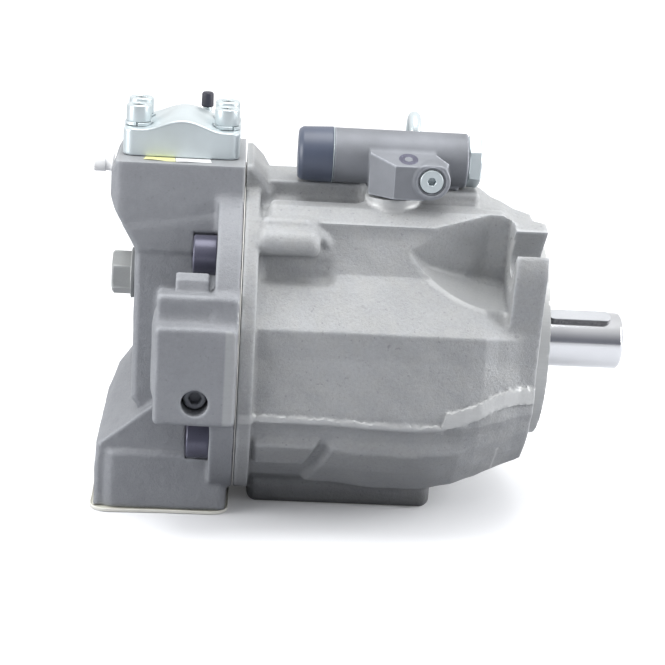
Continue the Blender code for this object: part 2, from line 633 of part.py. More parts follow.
def cut_port_plate(plate):
    """The passages, the rear bearing's bore, and the holes for screws and plugs."""
    kidney_z = PITCH_RADIUS
    passage_rear_x = PORT_AXIS_X - PRESSURE_BORE_RADIUS / 2
    suction_top_z = -PITCH_RADIUS
    cut(
        plate,
        rod("pressure_bore", PRESSURE_BORE_RADIUS, kidney_z - PRESSURE_PASSAGE_RADIUS / 2, PORT_FACE_Z + MM,
            "Z", (PORT_AXIS_X, 0)),
        rod("pressure_passage", PRESSURE_PASSAGE_RADIUS, passage_rear_x, SPIGOT_X + MM, across=(0, kidney_z)),
        rod("suction_bore", SUCTION_BORE_RADIUS, SUCTION_FACE_Z - MM, suction_top_z, "Z", (PORT_AXIS_X, 0)),
        rod("suction_passage", SUCTION_PASSAGE_RADIUS, passage_rear_x, SPIGOT_X + MM, across=(0, -kidney_z)),
        rod("rear_bearing_bore", REAR_BEARING_RADIUS, REAR_BEARING_X - 6 * MM, SPIGOT_X + MM,
            steps=MEDIUM_STEPS),
        rod("rear_plug_hole", REAR_PLUG_SHANK_RADIUS + GAP, REAR_FACE_X - MM,
            REAR_FACE_X + REAR_PLUG_SHANK_LENGTH + MM, across=(0, REAR_PLUG_Z)),
        rod("far_plug_hole", FAR_PLUG_RADIUS / 2 + GAP, REAR_FACE_X - 2 * PAD_OVERHANG,
            REAR_FACE_X - PAD_OVERHANG + FAR_PLUG_SHANK_LENGTH + 3 * MM,
            across=(FAR_PLUG_Y, FAR_PLUG_Z)),
        rod("gauge_hole", GAUGE_CAP_RADIUS - MM + GAP, PORT_FACE_Z - GAUGE_CAP_SHANK_LENGTH - 2 * MM,
            PORT_FACE_Z + MM, "Z",
            (GAUGE_CAP_X, GAUGE_CAP_Y)),
        rod("lug_port", LUG_PORT_RADIUS, LUG_FACE_Y - MM, LUG_FACE_Y + LUG_PORT_DEPTH, "Y",
            (lug_port_x(), LUG_BOTTOM_Z + LUG_PORT_RISE)),
    )
    for number, place in enumerate(mirrored_pairs(PLATE_SCREW_Y, PLATE_SCREW_Z), 1):
        hole = rod(f"plate_screw_hole_{number}", PLATE_SCREW_RADIUS + GAP, PLATE_RIM_REAR_X - MM,
                   PLATE_FRONT_X + MM, across=place)
        cut(plate, hole)
    for number, (x, y) in enumerate(cover_screw_places(), 1):
        thread = rod(f"cover_thread_{number}", COVER_SCREW_RADIUS + GAP,
                     PORT_FACE_Z - COVER_SCREW_GRIP - 2 * MM, PORT_FACE_Z + MM, "Z", (x, y))
        cut(plate, thread)


def lug_port_x():
    """Where the side lug's threaded port lies along X: the middle of the lug."""
    return PLATE_FRONT_X - LUG_LENGTH / 2


def cover_screw_places():
    """The four screws of the pressure port, as (X, Y)."""
    return [(PORT_AXIS_X + a * COVER_BOLTS_X / 2, b * COVER_BOLTS_Y / 2)
            for a, b in ((-1, -1), (1, -1), (1, 1), (-1, 1))]


def build_gasket():
    """The flat ring between the castings, with its four screw holes."""
    gasket = turned("housing_gasket", [
        (GASKET_FRONT_X, RIM_RADIUS),
        (GASKET_REAR_X, RIM_RADIUS),
        (GASKET_REAR_X, CAVITY_RADIUS),
        (GASKET_FRONT_X, CAVITY_RADIUS),
    ], material=GASKET_PAPER, steps=LARGE_STEPS)
    for number, place in enumerate(mirrored_pairs(PLATE_SCREW_Y, PLATE_SCREW_Z), 1):
        cut(gasket, rod(f"gasket_hole_{number}", PLATE_SCREW_RADIUS + GAP, GASKET_REAR_X - MM,
                        GASKET_FRONT_X + MM, across=place))


def build_plate_screws():
    """The four large screws that clamp the port plate to the housing. Their heads point to the rear."""
    grip = PLATE_FRONT_X - PLATE_RIM_REAR_X + PLATE_SCREW_GRIP
    seat_x = PLATE_RIM_REAR_X - GAP
    for number, place in enumerate(mirrored_pairs(PLATE_SCREW_Y, PLATE_SCREW_Z), 1):
        outline = [
            (seat_x + grip, 0),
            (seat_x + grip, PLATE_SCREW_RADIUS),
            (seat_x, PLATE_SCREW_RADIUS),
            (seat_x, PLATE_SCREW_HEAD_RADIUS),
            (seat_x - PLATE_SCREW_HEAD_HEIGHT, PLATE_SCREW_HEAD_RADIUS),
            (seat_x - PLATE_SCREW_HEAD_HEIGHT, 0),
        ]
        screw = turned(f"port_plate_screw_{number}", outline, (0, *place), "X", BLACK_STEEL, SMALL_STEPS)
        socket = hexagon(f"plate_socket_{number}", 0.6 * PLATE_SCREW_HEAD_RADIUS,
                         seat_x - PLATE_SCREW_HEAD_HEIGHT - MM, seat_x - PLATE_SCREW_HEAD_HEIGHT / 2,
                         "X", place)
        cut(screw, socket)


def build_cover():
    """The blind flange on the pressure port, with a dome over the bore and four holes."""
    low = (PORT_AXIS_X - COVER_LENGTH / 2, -COVER_WIDTH / 2, PORT_FACE_Z + GAP)
    high = (PORT_AXIS_X + COVER_LENGTH / 2, COVER_WIDTH / 2, PORT_FACE_Z + GAP + COVER_THICKNESS)
    cover = box("pressure_port_cover", low, high, ZINC, bevel=2 * MM)
    top_z = high[2]
    dome = turned("cover_dome", [
        (DOME_HEIGHT, 0),
        (DOME_HEIGHT, DOME_RADIUS / 2),
        (0.7 * DOME_HEIGHT, 0.85 * DOME_RADIUS),
        (0, DOME_RADIUS),
        (-COVER_THICKNESS / 2, DOME_RADIUS),
        (-COVER_THICKNESS / 2, 0),
    ], (PORT_AXIS_X, 0, top_z), "Z")
    join(cover, dome)
    for number, (x, y) in enumerate(cover_screw_places(), 1):
        seat = rod(f"cover_spotface_{number}", WASHER_RADIUS + GAP, top_z, top_z + 2 * DOME_HEIGHT,
                   "Z", (x, y))
        hole = rod(f"cover_hole_{number}", COVER_SCREW_RADIUS + 2 * GAP, PORT_FACE_Z - MM, top_z + MM,
                   "Z", (x, y))
        cut(cover, seat, hole)
    return top_z


def build_cover_screws(seat_z):
    """The four bright socket head screws of the cover, each in one with its lock washer."""
    seat = seat_z + GAP
    head_z = seat + WASHER_THICKNESS
    top_z = head_z + COVER_SCREW_HEAD_HEIGHT
    for number, (x, y) in enumerate(cover_screw_places(), 1):
        screw = turned(f"cover_screw_{number}", [
            (top_z, 0),
            (top_z, COVER_SCREW_HEAD_RADIUS),
            (head_z, COVER_SCREW_HEAD_RADIUS),
            (head_z, WASHER_RADIUS),
            (seat, WASHER_RADIUS),
            (seat, COVER_SCREW_RADIUS),
            (seat - COVER_SCREW_GRIP - COVER_THICKNESS, COVER_SCREW_RADIUS),
            (seat - COVER_SCREW_GRIP - COVER_THICKNESS, 0),
        ], (x, y, 0), "Z", ZINC, SMALL_STEPS)
        cut(screw, hexagon(f"cover_socket_{number}", 0.6 * COVER_SCREW_HEAD_RADIUS,
                           top_z - COVER_SCREW_HEAD_HEIGHT / 2, top_z + MM, "Z", (x, y)))


def build_suction_lid():
    """The thin transport lid under the suction block, with a stub that plugs the bore."""
    rear_x = PORT_AXIS_X - SUCTION_REACH
    lid = box("suction_port_lid",
              (rear_x - LID_MARGIN, -SUCTION_HALF_WIDTH - LID_MARGIN, LID_BOTTOM_Z),
              (rear_x + SUCTION_LENGTH + LID_MARGIN, SUCTION_HALF_WIDTH + LID_MARGIN,
               LID_BOTTOM_Z + LID_THICKNESS), YELLOW_PLASTIC)
    stub = rod("lid_stub", SUCTION_BORE_RADIUS - GAP, LID_BOTTOM_Z + LID_THICKNESS / 2,
               LID_BOTTOM_Z + LID_THICKNESS + LID_STUB_LENGTH, "Z", (PORT_AXIS_X, 0))
    join(lid, stub)


def build_plugs():
    """The plugs and caps of the port plate."""
    seat_x = REAR_FACE_X - GAP
    rear = hexagon("rear_hex_plug", REAR_PLUG_HEX_RADIUS, seat_x - REAR_PLUG_HEIGHT, seat_x, "X",
                   (0, REAR_PLUG_Z), VALVE_STEEL)
    join(rear, rod("rear_plug_shank", REAR_PLUG_SHANK_RADIUS, seat_x - REAR_PLUG_HEIGHT / 2,
                   seat_x + REAR_PLUG_SHANK_LENGTH, across=(0, REAR_PLUG_Z)))
    pad_x = REAR_FACE_X - PAD_OVERHANG - GAP
    turned("far_side_plug", [
        (pad_x + FAR_PLUG_SHANK_LENGTH, 0),
        (pad_x + FAR_PLUG_SHANK_LENGTH, FAR_PLUG_RADIUS / 2),
        (pad_x, FAR_PLUG_RADIUS / 2),
        (pad_x, FAR_PLUG_RADIUS),
        (pad_x - FAR_PLUG_HEIGHT + MM, FAR_PLUG_RADIUS),
        (pad_x - FAR_PLUG_HEIGHT, FAR_PLUG_RADIUS - MM),
        (pad_x - FAR_PLUG_HEIGHT, 0),
    ], (0, FAR_PLUG_Y, FAR_PLUG_Z), "X", WHITE_PLASTIC, SMALL_STEPS)
    base_radius = GAUGE_CAP_RADIUS + 2 * MM
    turned("gauge_port_cap", [
        (GAUGE_CAP_HEIGHT, 0),
        (GAUGE_CAP_HEIGHT, GAUGE_CAP_RADIUS),
        (GAUGE_CAP_BASE_HEIGHT, GAUGE_CAP_RADIUS),
        (GAUGE_CAP_BASE_HEIGHT, base_radius),
        (0, base_radius),
        (0, GAUGE_CAP_RADIUS - MM),
        (-GAUGE_CAP_SHANK_LENGTH, GAUGE_CAP_RADIUS - MM),
        (-GAUGE_CAP_SHANK_LENGTH, 0),
    ], (GAUGE_CAP_X, GAUGE_CAP_Y, PORT_FACE_Z + GAP), "Z", BLACK_PLASTIC, SMALL_STEPS)
    plug_y = LUG_FACE_Y + LUG_PORT_DEPTH - GAP
    place = (lug_port_x(), LUG_BOTTOM_Z + LUG_PORT_RISE)
    side = rod("side_port_plug", LUG_PORT_RADIUS - GAP, plug_y - LUG_PLUG_LENGTH, plug_y, "Y", place,
               VALVE_STEEL)
    cut(side, hexagon("side_plug_socket", LUG_PORT_RADIUS / 2, plug_y - LUG_PLUG_LENGTH - MM,
                      plug_y - LUG_PLUG_LENGTH / 2, "Y", place))


def build_valve_body():
    """The control valve's steel body: a barrel along X on a foot, with a block in front for its plug."""
    front_x = VALVE_REAR_X + VALVE_LENGTH
    body = rod("valve_body", VALVE_RADIUS, VALVE_REAR_X, front_x, across=(VALVE_Y, VALVE_Z),
               material=VALVE_STEEL, steps=MEDIUM_STEPS)
    seat_z = VALVE_PAD_TOP_Z + GAP
    foot = box("valve_foot", (VALVE_REAR_X + 6 * MM, VALVE_Y - VALVE_RADIUS, seat_z),
               (front_x - 6 * MM, VALVE_Y + VALVE_RADIUS, VALVE_Z))
    block_profile = [
        (VALVE_Y, VALVE_Z + VALVE_RADIUS - 4 * MM),
        (VALVE_Y - 18 * MM, VALVE_Z + 12 * MM),
        (VALVE_FACE_Y + 2 * MM, VALVE_Z),
        (VALVE_FACE_Y, VALVE_Z - 4 * MM),
        (VALVE_FACE_Y, VALVE_PLUG_Z - 12 * MM),
        (VALVE_FACE_Y + 4 * MM, seat_z),
        (VALVE_Y, seat_z),
    ]
    block = prism("valve_block", block_profile, VALVE_PLUG_X - 46 * MM, VALVE_PLUG_X + 14 * MM, axis="X")
    join(body, foot, block)
    spool_bore = rod("spool_bore", SPOOL_RADIUS + GAP, VALVE_REAR_X - MM, front_x - VALVE_END_SHANK_LENGTH,
                     across=(VALVE_Y, VALVE_Z))
    end_bore = rod("valve_end_bore", VALVE_END_SHANK_RADIUS + GAP, front_x - VALVE_END_SHANK_LENGTH - MM,
                   front_x + MM, across=(VALVE_Y, VALVE_Z))
    plug_bore = rod("valve_plug_bore", VALVE_PLUG_RADIUS + GAP, VALVE_FACE_Y - MM,
                    VALVE_FACE_Y + VALVE_PLUG_LENGTH + GAP, "Y", (VALVE_PLUG_X, VALVE_PLUG_Z))
    cut(body, spool_bore, end_bore, plug_bore)


def build_valve_fittings():
    """What is screwed into the control valve: its cap, its side plug and its end plug."""
    place = (VALVE_Y, VALVE_Z)
    rear_x = VALVE_REAR_X - GAP
    turned("valve_cap", [
        (rear_x, VALVE_CAP_RADIUS),
        (rear_x - VALVE_CAP_LENGTH + 3 * MM, VALVE_CAP_RADIUS),
        (rear_x - VALVE_CAP_LENGTH, VALVE_CAP_RADIUS - 3 * MM),
        (rear_x - VALVE_CAP_LENGTH, 0),
        (rear_x - VALVE_CAP_LENGTH + VALVE_CAP_WALL, 0),
        (rear_x - VALVE_CAP_LENGTH + VALVE_CAP_WALL, VALVE_CAP_RADIUS - VALVE_CAP_WALL),
        (rear_x, VALVE_CAP_RADIUS - VALVE_CAP_WALL),
    ], (0, *place), "X", BLACK_PLASTIC)
    plug = rod("valve_side_plug", VALVE_PLUG_RADIUS, VALVE_FACE_Y - 0.5 * MM,
               VALVE_FACE_Y + VALVE_PLUG_LENGTH, "Y", (VALVE_PLUG_X, VALVE_PLUG_Z), ZINC)
    cut(plug, hexagon("valve_plug_socket", VALVE_PLUG_RADIUS / 2, VALVE_FACE_Y - 2 * MM,
                      VALVE_FACE_Y + VALVE_PLUG_LENGTH / 2, "Y", (VALVE_PLUG_X, VALVE_PLUG_Z)))
    front_x = VALVE_REAR_X + VALVE_LENGTH + GAP
    end = hexagon("valve_end_plug", VALVE_END_HEX_RADIUS, front_x, front_x + VALVE_END_HEIGHT, "X", place,
                  VALVE_STEEL)
    join(end, rod("valve_end_shank", VALVE_END_SHANK_RADIUS, front_x - VALVE_END_SHANK_LENGTH + GAP,
                  front_x + VALVE_END_HEIGHT / 2, across=place))


def build_valve_inside():
    """The valve's spool with its two lands and stem, and the spring in the cap that it works against."""
    stop_x = VALVE_REAR_X + VALVE_LENGTH - VALVE_END_SHANK_LENGTH - SPOOL_TRAVEL - GAP
    middle_x = stop_x - SPOOL_LENGTH / 2
    land = SPOOL_LENGTH / 4
    turned("valve_spool", [
        (stop_x, 0),
        (stop_x, SPOOL_RADIUS),
        (stop_x - land, SPOOL_RADIUS),
        (stop_x - land, SPOOL_RADIUS / 2),
        (middle_x - land, SPOOL_RADIUS / 2),
        (middle_x - land, SPOOL_RADIUS),
        (stop_x - SPOOL_LENGTH, SPOOL_RADIUS),
        (stop_x - SPOOL_LENGTH, 0),
    ], (0, VALVE_Y, VALVE_Z), "X", POLISHED_STEEL, SMALL_STEPS)


def build_lifting_eye():
    """The lifting eye behind the valve: a ring on a collar with a threaded shank."""
    eye = turned("lifting_eye", [
        (EYE_RING_Z - EYE_RING_RADIUS, 0),
        (EYE_RING_Z - EYE_RING_RADIUS, EYE_WIRE_RADIUS),
        (EYE_SEAT_Z + 5 * MM, EYE_SHANK_RADIUS),
        (EYE_SEAT_Z + 4 * MM, EYE_COLLAR_RADIUS),
        (EYE_SEAT_Z + GAP, EYE_COLLAR_RADIUS),
        (EYE_SEAT_Z + GAP, EYE_SHANK_RADIUS),
        (EYE_SEAT_Z - EYE_SHANK_LENGTH, EYE_SHANK_RADIUS),
        (EYE_SEAT_Z - EYE_SHANK_LENGTH, 0),
    ], (EYE_X, EYE_Y, 0), "Z", ZINC, SMALL_STEPS)
    section = [(EYE_WIRE_RADIUS * math.cos(a), EYE_RING_RADIUS + EYE_WIRE_RADIUS * math.sin(a))
               for a in [math.pi / 2 - math.pi * i / 4 for i in range(8)]]
    ring = turned("eye_ring", section, (EYE_X, EYE_Y, EYE_RING_Z), "X", None, SMALL_STEPS)
    join(eye, ring)


def build_shaft():
    """The drive shaft with its keyed end, journals, collar and splined length, and the key."""
    shoulder_x = CAVITY_FRONT_X - 2 * GAP
    shaft = turned("drive_shaft", [
        (SHAFT_END_X, 0),
        (SHAFT_END_X, SHAFT_RADIUS - SHAFT_CHAMFER),
        (SHAFT_END_X - SHAFT_CHAMFER, SHAFT_RADIUS),
        (SEAL_REAR_X - 3 * MM, SHAFT_RADIUS),
        (SEAL_REAR_X - 3 * MM, FRONT_JOURNAL_RADIUS),
        (shoulder_x, FRONT_JOURNAL_RADIUS),
        (shoulder_x, COLLAR_RADIUS),
        (shoulder_x - COLLAR_LENGTH, COLLAR_RADIUS),
        (shoulder_x - COLLAR_LENGTH, SPLINE_RADIUS),
        (SPIGOT_X - 8 * MM, SPLINE_RADIUS),
        (SPIGOT_X - 8 * MM, REAR_JOURNAL_RADIUS),
        (SHAFT_REAR_X, REAR_JOURNAL_RADIUS),
        (SHAFT_REAR_X, 0),
    ], material=POLISHED_STEEL, steps=LARGE_STEPS)
    cut(shaft, key_solid("key_seat", GAP, None))
    key_solid("shaft_key", 0, POLISHED_STEEL)


def key_solid(name, margin, material):
    """The feather key with its round ends, or its seat, which is larger by the margin all round."""
    top = SHAFT_RADIUS + KEY_PROUD
    bottom = top - KEY_HEIGHT
    half = KEY_WIDTH / 2 + margin
    front = KEY_END_X - KEY_WIDTH / 2
    rear = KEY_END_X - KEY_LENGTH + KEY_WIDTH / 2
    points = []
    for middle, first in ((front, -90), (rear, 90)):
        for i in range(7):
            angle = math.radians(first + 30 * i)
            points.append((middle + half * math.cos(angle), half * math.sin(angle)))
    key = prism(name, points, bottom - margin, top + margin, material=material)
    depth = (top + bottom) / 2
    key.rotation_euler = (KEY_ANGLE, 0, 0)
    key.location = (0, -depth * math.sin(KEY_ANGLE), depth * math.cos(KEY_ANGLE))
    return key


def bearing(prefix, outer, inner, front_x, length, taper_in_front):
    """A tapered roller bearing in two rings: the outer cup, and the cone with its rollers as one ring."""
    middle = (outer + inner) / 2
    lean = BEARING_TAPER / 2 if taper_in_front else -BEARING_TAPER / 2
    rear_x = front_x - length
    turned(f"{prefix}_bearing_cup", [
        (front_x, outer - GAP),
        (rear_x, outer - GAP),
        (rear_x, middle - lean + BEARING_GAP),
        (front_x, middle + lean + BEARING_GAP),
    ], material=BEARING_STEEL)
    turned(f"{prefix}_bearing_cone", [
        (front_x, middle + lean),
        (rear_x, middle - lean),
        (rear_x, inner + GAP),
        (front_x, inner + GAP),
    ], material=BEARING_STEEL)


def build_seal():
    """The radial shaft seal in the pilot's bore and the ring that keeps it there."""
    front_x = SEAL_REAR_X + GAP + SEAL_LENGTH
    turned("shaft_seal", [
        (front_x, SEAL_RADIUS - GAP),
        (SEAL_REAR_X + GAP, SEAL_RADIUS - GAP),
        (SEAL_REAR_X + GAP, SHAFT_RADIUS + 3 * MM),
        ((front_x + SEAL_REAR_X) / 2, SHAFT_RADIUS + GAP),
        (front_x, SHAFT_RADIUS + 3 * MM),
    ], material=RUBBER)
    turned("seal_retaining_ring", [
        (front_x + GAP + RETAINING_RING_THICKNESS, SEAL_RADIUS + RETAINING_RING_DEPTH - GAP),
        (front_x + GAP, SEAL_RADIUS + RETAINING_RING_DEPTH - GAP),
        (front_x + GAP, SEAL_RADIUS - RETAINING_RING_WIDTH),
        (front_x + GAP + RETAINING_RING_THICKNESS, SEAL_RADIUS - RETAINING_RING_WIDTH),
    ], material=SPRING_STEEL)


def piston_place(number):
    """The place (Y, Z) of a piston about the shaft, counted from the top."""
    angle = 2 * math.pi * (number - 1) / PISTON_COUNT
    return PITCH_RADIUS * math.sin(angle), PITCH_RADIUS * math.cos(angle)


def build_cylinder_block():
    """The cylinder block with its nose, its bores and the port behind each bore."""
    rear_x = BLOCK_FRONT_X - BLOCK_LENGTH
    bore = SPLINE_RADIUS + GAP
    block = turned("cylinder_block", [
        (BLOCK_FRONT_X + NOSE_LENGTH, NOSE_RADIUS),
        (BLOCK_FRONT_X, NOSE_RADIUS),
        (BLOCK_FRONT_X, BLOCK_RADIUS),
        (rear_x, BLOCK_RADIUS),
        (rear_x, bore),
        (BLOCK_FRONT_X + NOSE_LENGTH, bore),
    ], material=BEARING_STEEL, steps=LARGE_STEPS)
    for number in range(1, PISTON_COUNT + 1):
        place = piston_place(number)
        cylinder = rod(f"cylinder_bore_{number}", PISTON_RADIUS + GAP, BLOCK_FRONT_X - BORE_DEPTH,
                       BLOCK_FRONT_X + MM, across=place, steps=PISTON_STEPS)
        port = rod(f"cylinder_port_{number}", BLOCK_PORT_RADIUS, rear_x - MM,
                   BLOCK_FRONT_X - BORE_DEPTH + MM, across=place, steps=8)
        cut(block, cylinder, port)


def build_pistons():
    """The pistons, each with its ball, and the slippers that carry them on the swash plate."""
    skirt_x = -PISTON_NECK_LENGTH
    piston_outline = ball_outline(BALL_RADIUS, 0, 132, 6) + [
        (skirt_x, PISTON_NECK_RADIUS),
        (skirt_x, PISTON_RADIUS),
        (skirt_x - PISTON_LENGTH, PISTON_RADIUS),
        (skirt_x - PISTON_LENGTH, 0),
    ]
    foot_x = RUNNING_FACE_OFFSET - GAP
    slipper_outline = [
        (foot_x, 0),
        (foot_x, SLIPPER_RADIUS),
        (foot_x - SLIPPER_FOOT, SLIPPER_RADIUS),
        (foot_x - SLIPPER_FOOT, SLIPPER_NECK_RADIUS),
        (-SLIPPER_WRAP, SLIPPER_NECK_RADIUS),
    ]
    socket_radius = BALL_RADIUS + BALL_CLEARANCE
    lip = math.degrees(math.acos(-SLIPPER_WRAP / socket_radius))
    slipper_outline += ball_outline(socket_radius, lip, 0, 5)
    for number in range(1, PISTON_COUNT + 1):
        where = (PIVOT_X, *piston_place(number))
        turned(f"piston_{number}", piston_outline, where, "X", POLISHED_STEEL, PISTON_STEPS)
        turned(f"slipper_{number}", slipper_outline, where, "X", BRONZE, PISTON_STEPS)


def build_retainer():
    """The plate that holds the slippers down, and the ball on the shaft that guides it."""
    rear_offset = RUNNING_FACE_OFFSET - GAP - SLIPPER_FOOT - GAP - RETAINER_THICKNESS
    retainer = turned("retainer_plate", [
        (rear_offset + RETAINER_THICKNESS, RETAINER_RADIUS),
        (rear_offset, RETAINER_RADIUS),
        (rear_offset, RETAINER_BALL_RADIUS + GAP),
        (rear_offset + RETAINER_THICKNESS, RETAINER_BALL_RADIUS + GAP),
    ], (PIVOT_X, 0, 0), "X", BEARING_STEEL, MEDIUM_STEPS)
    for number in range(1, PISTON_COUNT + 1):
        hole = rod(f"retainer_hole_{number}", SLIPPER_NECK_RADIUS + RETAINER_HOLE_PLAY, PIVOT_X - MM,
                   PIVOT_X + RUNNING_FACE_OFFSET, across=piston_place(number), steps=PISTON_STEPS)
        cut(retainer, hole)
    bore = SPLINE_RADIUS + GAP
    nose_x = BLOCK_FRONT_X + NOSE_LENGTH + GAP - PIVOT_X
    collar = bore + RETAINER_COLLAR_WALL
    collar_angle = 180 - math.degrees(math.asin(collar / RETAINER_BALL_RADIUS))
    front = rear_offset + RETAINER_THICKNESS
    front_angle = math.degrees(math.acos(front / RETAINER_BALL_RADIUS))
    outline = ball_outline(RETAINER_BALL_RADIUS, front_angle, collar_angle, 6)
    outline += [(nose_x, collar), (nose_x, bore), (front, bore)]
    turned("retainer_ball", outline, (PIVOT_X, 0, 0), "X", BEARING_STEEL)


def build_valve_plate():
    """The plate with the two kidney ports between the cylinder block and the port plate."""
    front_x = BLOCK_FRONT_X - BLOCK_LENGTH - GAP
    rear_x = SPIGOT_X + GAP
    plate = turned("valve_plate", [
        (front_x, VALVE_PLATE_RADIUS),
        (rear_x, VALVE_PLATE_RADIUS),
        (rear_x, VALVE_PLATE_BORE),
        (front_x, VALVE_PLATE_BORE),
    ], material=BRONZE, steps=LARGE_STEPS)
    kidneys = turned("kidneys", [
        (front_x + MM, PITCH_RADIUS + KIDNEY_HALF_WIDTH),
        (rear_x - MM, PITCH_RADIUS + KIDNEY_HALF_WIDTH),
        (rear_x - MM, PITCH_RADIUS - KIDNEY_HALF_WIDTH),
        (front_x + MM, PITCH_RADIUS - KIDNEY_HALF_WIDTH),
    ], steps=LARGE_STEPS)
    bridge = box("kidney_bridge", (rear_x - 2 * MM, -2 * PITCH_RADIUS, -KIDNEY_BRIDGE),
                 (front_x + 2 * MM, 2 * PITCH_RADIUS, KIDNEY_BRIDGE))
    cut(kidneys, bridge)
    cut(plate, kidneys)


def build_swash_plate():
    """The tilting plate: its running disc, the two round segments that lie in the cradle, and the levers."""
    face = RUNNING_FACE_OFFSET
    swash = turned("swash_plate", [
        (face + SWASH_THICKNESS, 0),
        (face + SWASH_THICKNESS, SWASH_RADIUS),
        (face, SWASH_RADIUS),
        (face, 0),
    ], (PIVOT_X, 0, 0), "X", BEARING_STEEL, LARGE_STEPS)
    for number, side in enumerate((-1, 1), 1):
        inner, outer = sorted((side * CRADLE_INNER_Y, side * CRADLE_HALF_WIDTH))
        segment = rod(f"cradle_segment_{number}", CRADLE_RADIUS, inner, outer, "Y", (PIVOT_X, 0),
                      steps=LARGE_STEPS)
        behind = box(f"segment_behind_{number}",
                     (PIVOT_X - 2 * CRADLE_RADIUS, inner - MM, -2 * CRADLE_RADIUS),
                     (PIVOT_X + face + SWASH_THICKNESS / 2, outer + MM, 2 * CRADLE_RADIUS))
        cut(segment, behind)
        join(swash, segment)
    lever_x = PIVOT_X + face
    lever = box("lever", (lever_x, -LEVER_HALF_WIDTH, -LEVER_REACH),
                (lever_x + LEVER_THICKNESS, LEVER_HALF_WIDTH, LEVER_REACH))
    join(swash, lever)
    cut(swash, rod("swash_bore", SWASH_BORE, PIVOT_X, PIVOT_X + 2 * CRADLE_RADIUS, steps=MEDIUM_STEPS))


def build_cradle_bearings():
    """The two thin bearing shells between the swash plate's segments and their seats."""
    for number, side in enumerate((-1, 1), 1):
        inner, outer = sorted((side * CRADLE_INNER_Y, side * CRADLE_HALF_WIDTH))
        shell = turned(f"cradle_bearing_{number}", [
            (outer, CRADLE_RADIUS + GAP + CRADLE_SHELL),
            (inner, CRADLE_RADIUS + GAP + CRADLE_SHELL),
            (inner, CRADLE_RADIUS + GAP),
            (outer, CRADLE_RADIUS + GAP),
        ], (PIVOT_X, 0, 0), "Y", BRONZE, LARGE_STEPS)
        keep = box(f"shell_span_{number}", (CRADLE_SEAT_FRONT_X, inner - MM, -CRADLE_RADIUS),
                   (CAVITY_FRONT_X, outer + MM, CRADLE_RADIUS))
        combine(shell, keep, "INTERSECT")


def nosed_piston(name, z, skirt_length):
    """A control or return piston: a skirt, and a nose with a round end against the swash plate's lever."""
    nose_x = PIVOT_X + RUNNING_FACE_OFFSET - GAP - NOSE_BALL_RADIUS
    outline = [(nose_x + along, radius) for along, radius in ball_outline(NOSE_BALL_RADIUS, 0, 90, 5)]
    outline += [
        (CONTROL_SKIRT_FRONT_X, NOSE_BALL_RADIUS),
        (CONTROL_SKIRT_FRONT_X, CONTROL_RADIUS),
        (CONTROL_SKIRT_FRONT_X - skirt_length, CONTROL_RADIUS),
        (CONTROL_SKIRT_FRONT_X - skirt_length, 0),
    ]
    turned(name, outline, (0, 0, z), "X", POLISHED_STEEL, SMALL_STEPS)


def build_springs():
    """The return piston's spring and the control valve's spring."""
    skirt_end_x = CONTROL_SKIRT_FRONT_X - RETURN_SKIRT_LENGTH
    coil("return_spring", CONTROL_RADIUS - RETURN_SPRING_WIRE / 2 - 2 * GAP, RETURN_SPRING_WIRE,
         CONTROL_BORE_END_X + GAP, skirt_end_x - GAP, RETURN_SPRING_TURNS, (0, -CONTROL_Z), SPRING_STEEL)
    spool_end_x = VALVE_REAR_X + VALVE_LENGTH - VALVE_END_SHANK_LENGTH - SPOOL_TRAVEL - GAP - SPOOL_LENGTH
    cap_floor_x = VALVE_REAR_X - GAP - VALVE_CAP_LENGTH + VALVE_CAP_WALL
    coil("valve_spring", SPOOL_RADIUS - VALVE_SPRING_WIRE / 2, VALVE_SPRING_WIRE, cap_floor_x + GAP,
         spool_end_x - GAP, VALVE_SPRING_TURNS, (VALVE_Y, VALVE_Z), SPRING_STEEL)


def smooth_round_faces():
    """Shades round faces smooth and keeps edges sharp."""
    for obj in PARTS.objects:
        if obj.type == "MESH":
            obj.data.shade_smooth()


def main():
    """Builds every piece of the pump."""
    build_housing()
    build_port_plate()
    build_gasket()
    build_plate_screws()
    build_cover_screws(build_cover())
    build_suction_lid()
    build_plugs()
    build_valve_body()
    build_valve_fittings()
    build_valve_inside()
    build_lifting_eye()
    build_shaft()
    bearing("front", FRONT_BEARING_RADIUS, FRONT_JOURNAL_RADIUS, CAVITY_FRONT_X + FRONT_BEARING_LENGTH - GAP,
            FRONT_BEARING_LENGTH - GAP, False)
    bearing("rear", REAR_BEARING_RADIUS, REAR_JOURNAL_RADIUS, REAR_BEARING_X + REAR_BEARING_LENGTH,
            REAR_BEARING_LENGTH, True)
    build_seal()
    build_cylinder_block()
    build_pistons()
    build_retainer()
    build_valve_plate()
    build_swash_plate()
    build_cradle_bearings()
    nosed_piston("control_piston", CONTROL_Z, CONTROL_SKIRT_LENGTH)
    nosed_piston("return_piston", -CONTROL_Z, RETURN_SKIRT_LENGTH)
    build_springs()
    smooth_round_faces()


main()
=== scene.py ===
"""Builds the detailed pieces of a swashplate axial piston pump round its CAD frame.

Sizes and places in the functions are millimetres in the pump's own frame: X runs along the drive shaft with 0 at the
mounting face, Z runs up to the pressure port, and -Y is the near side with the bolt pocket and the side lug.
"""

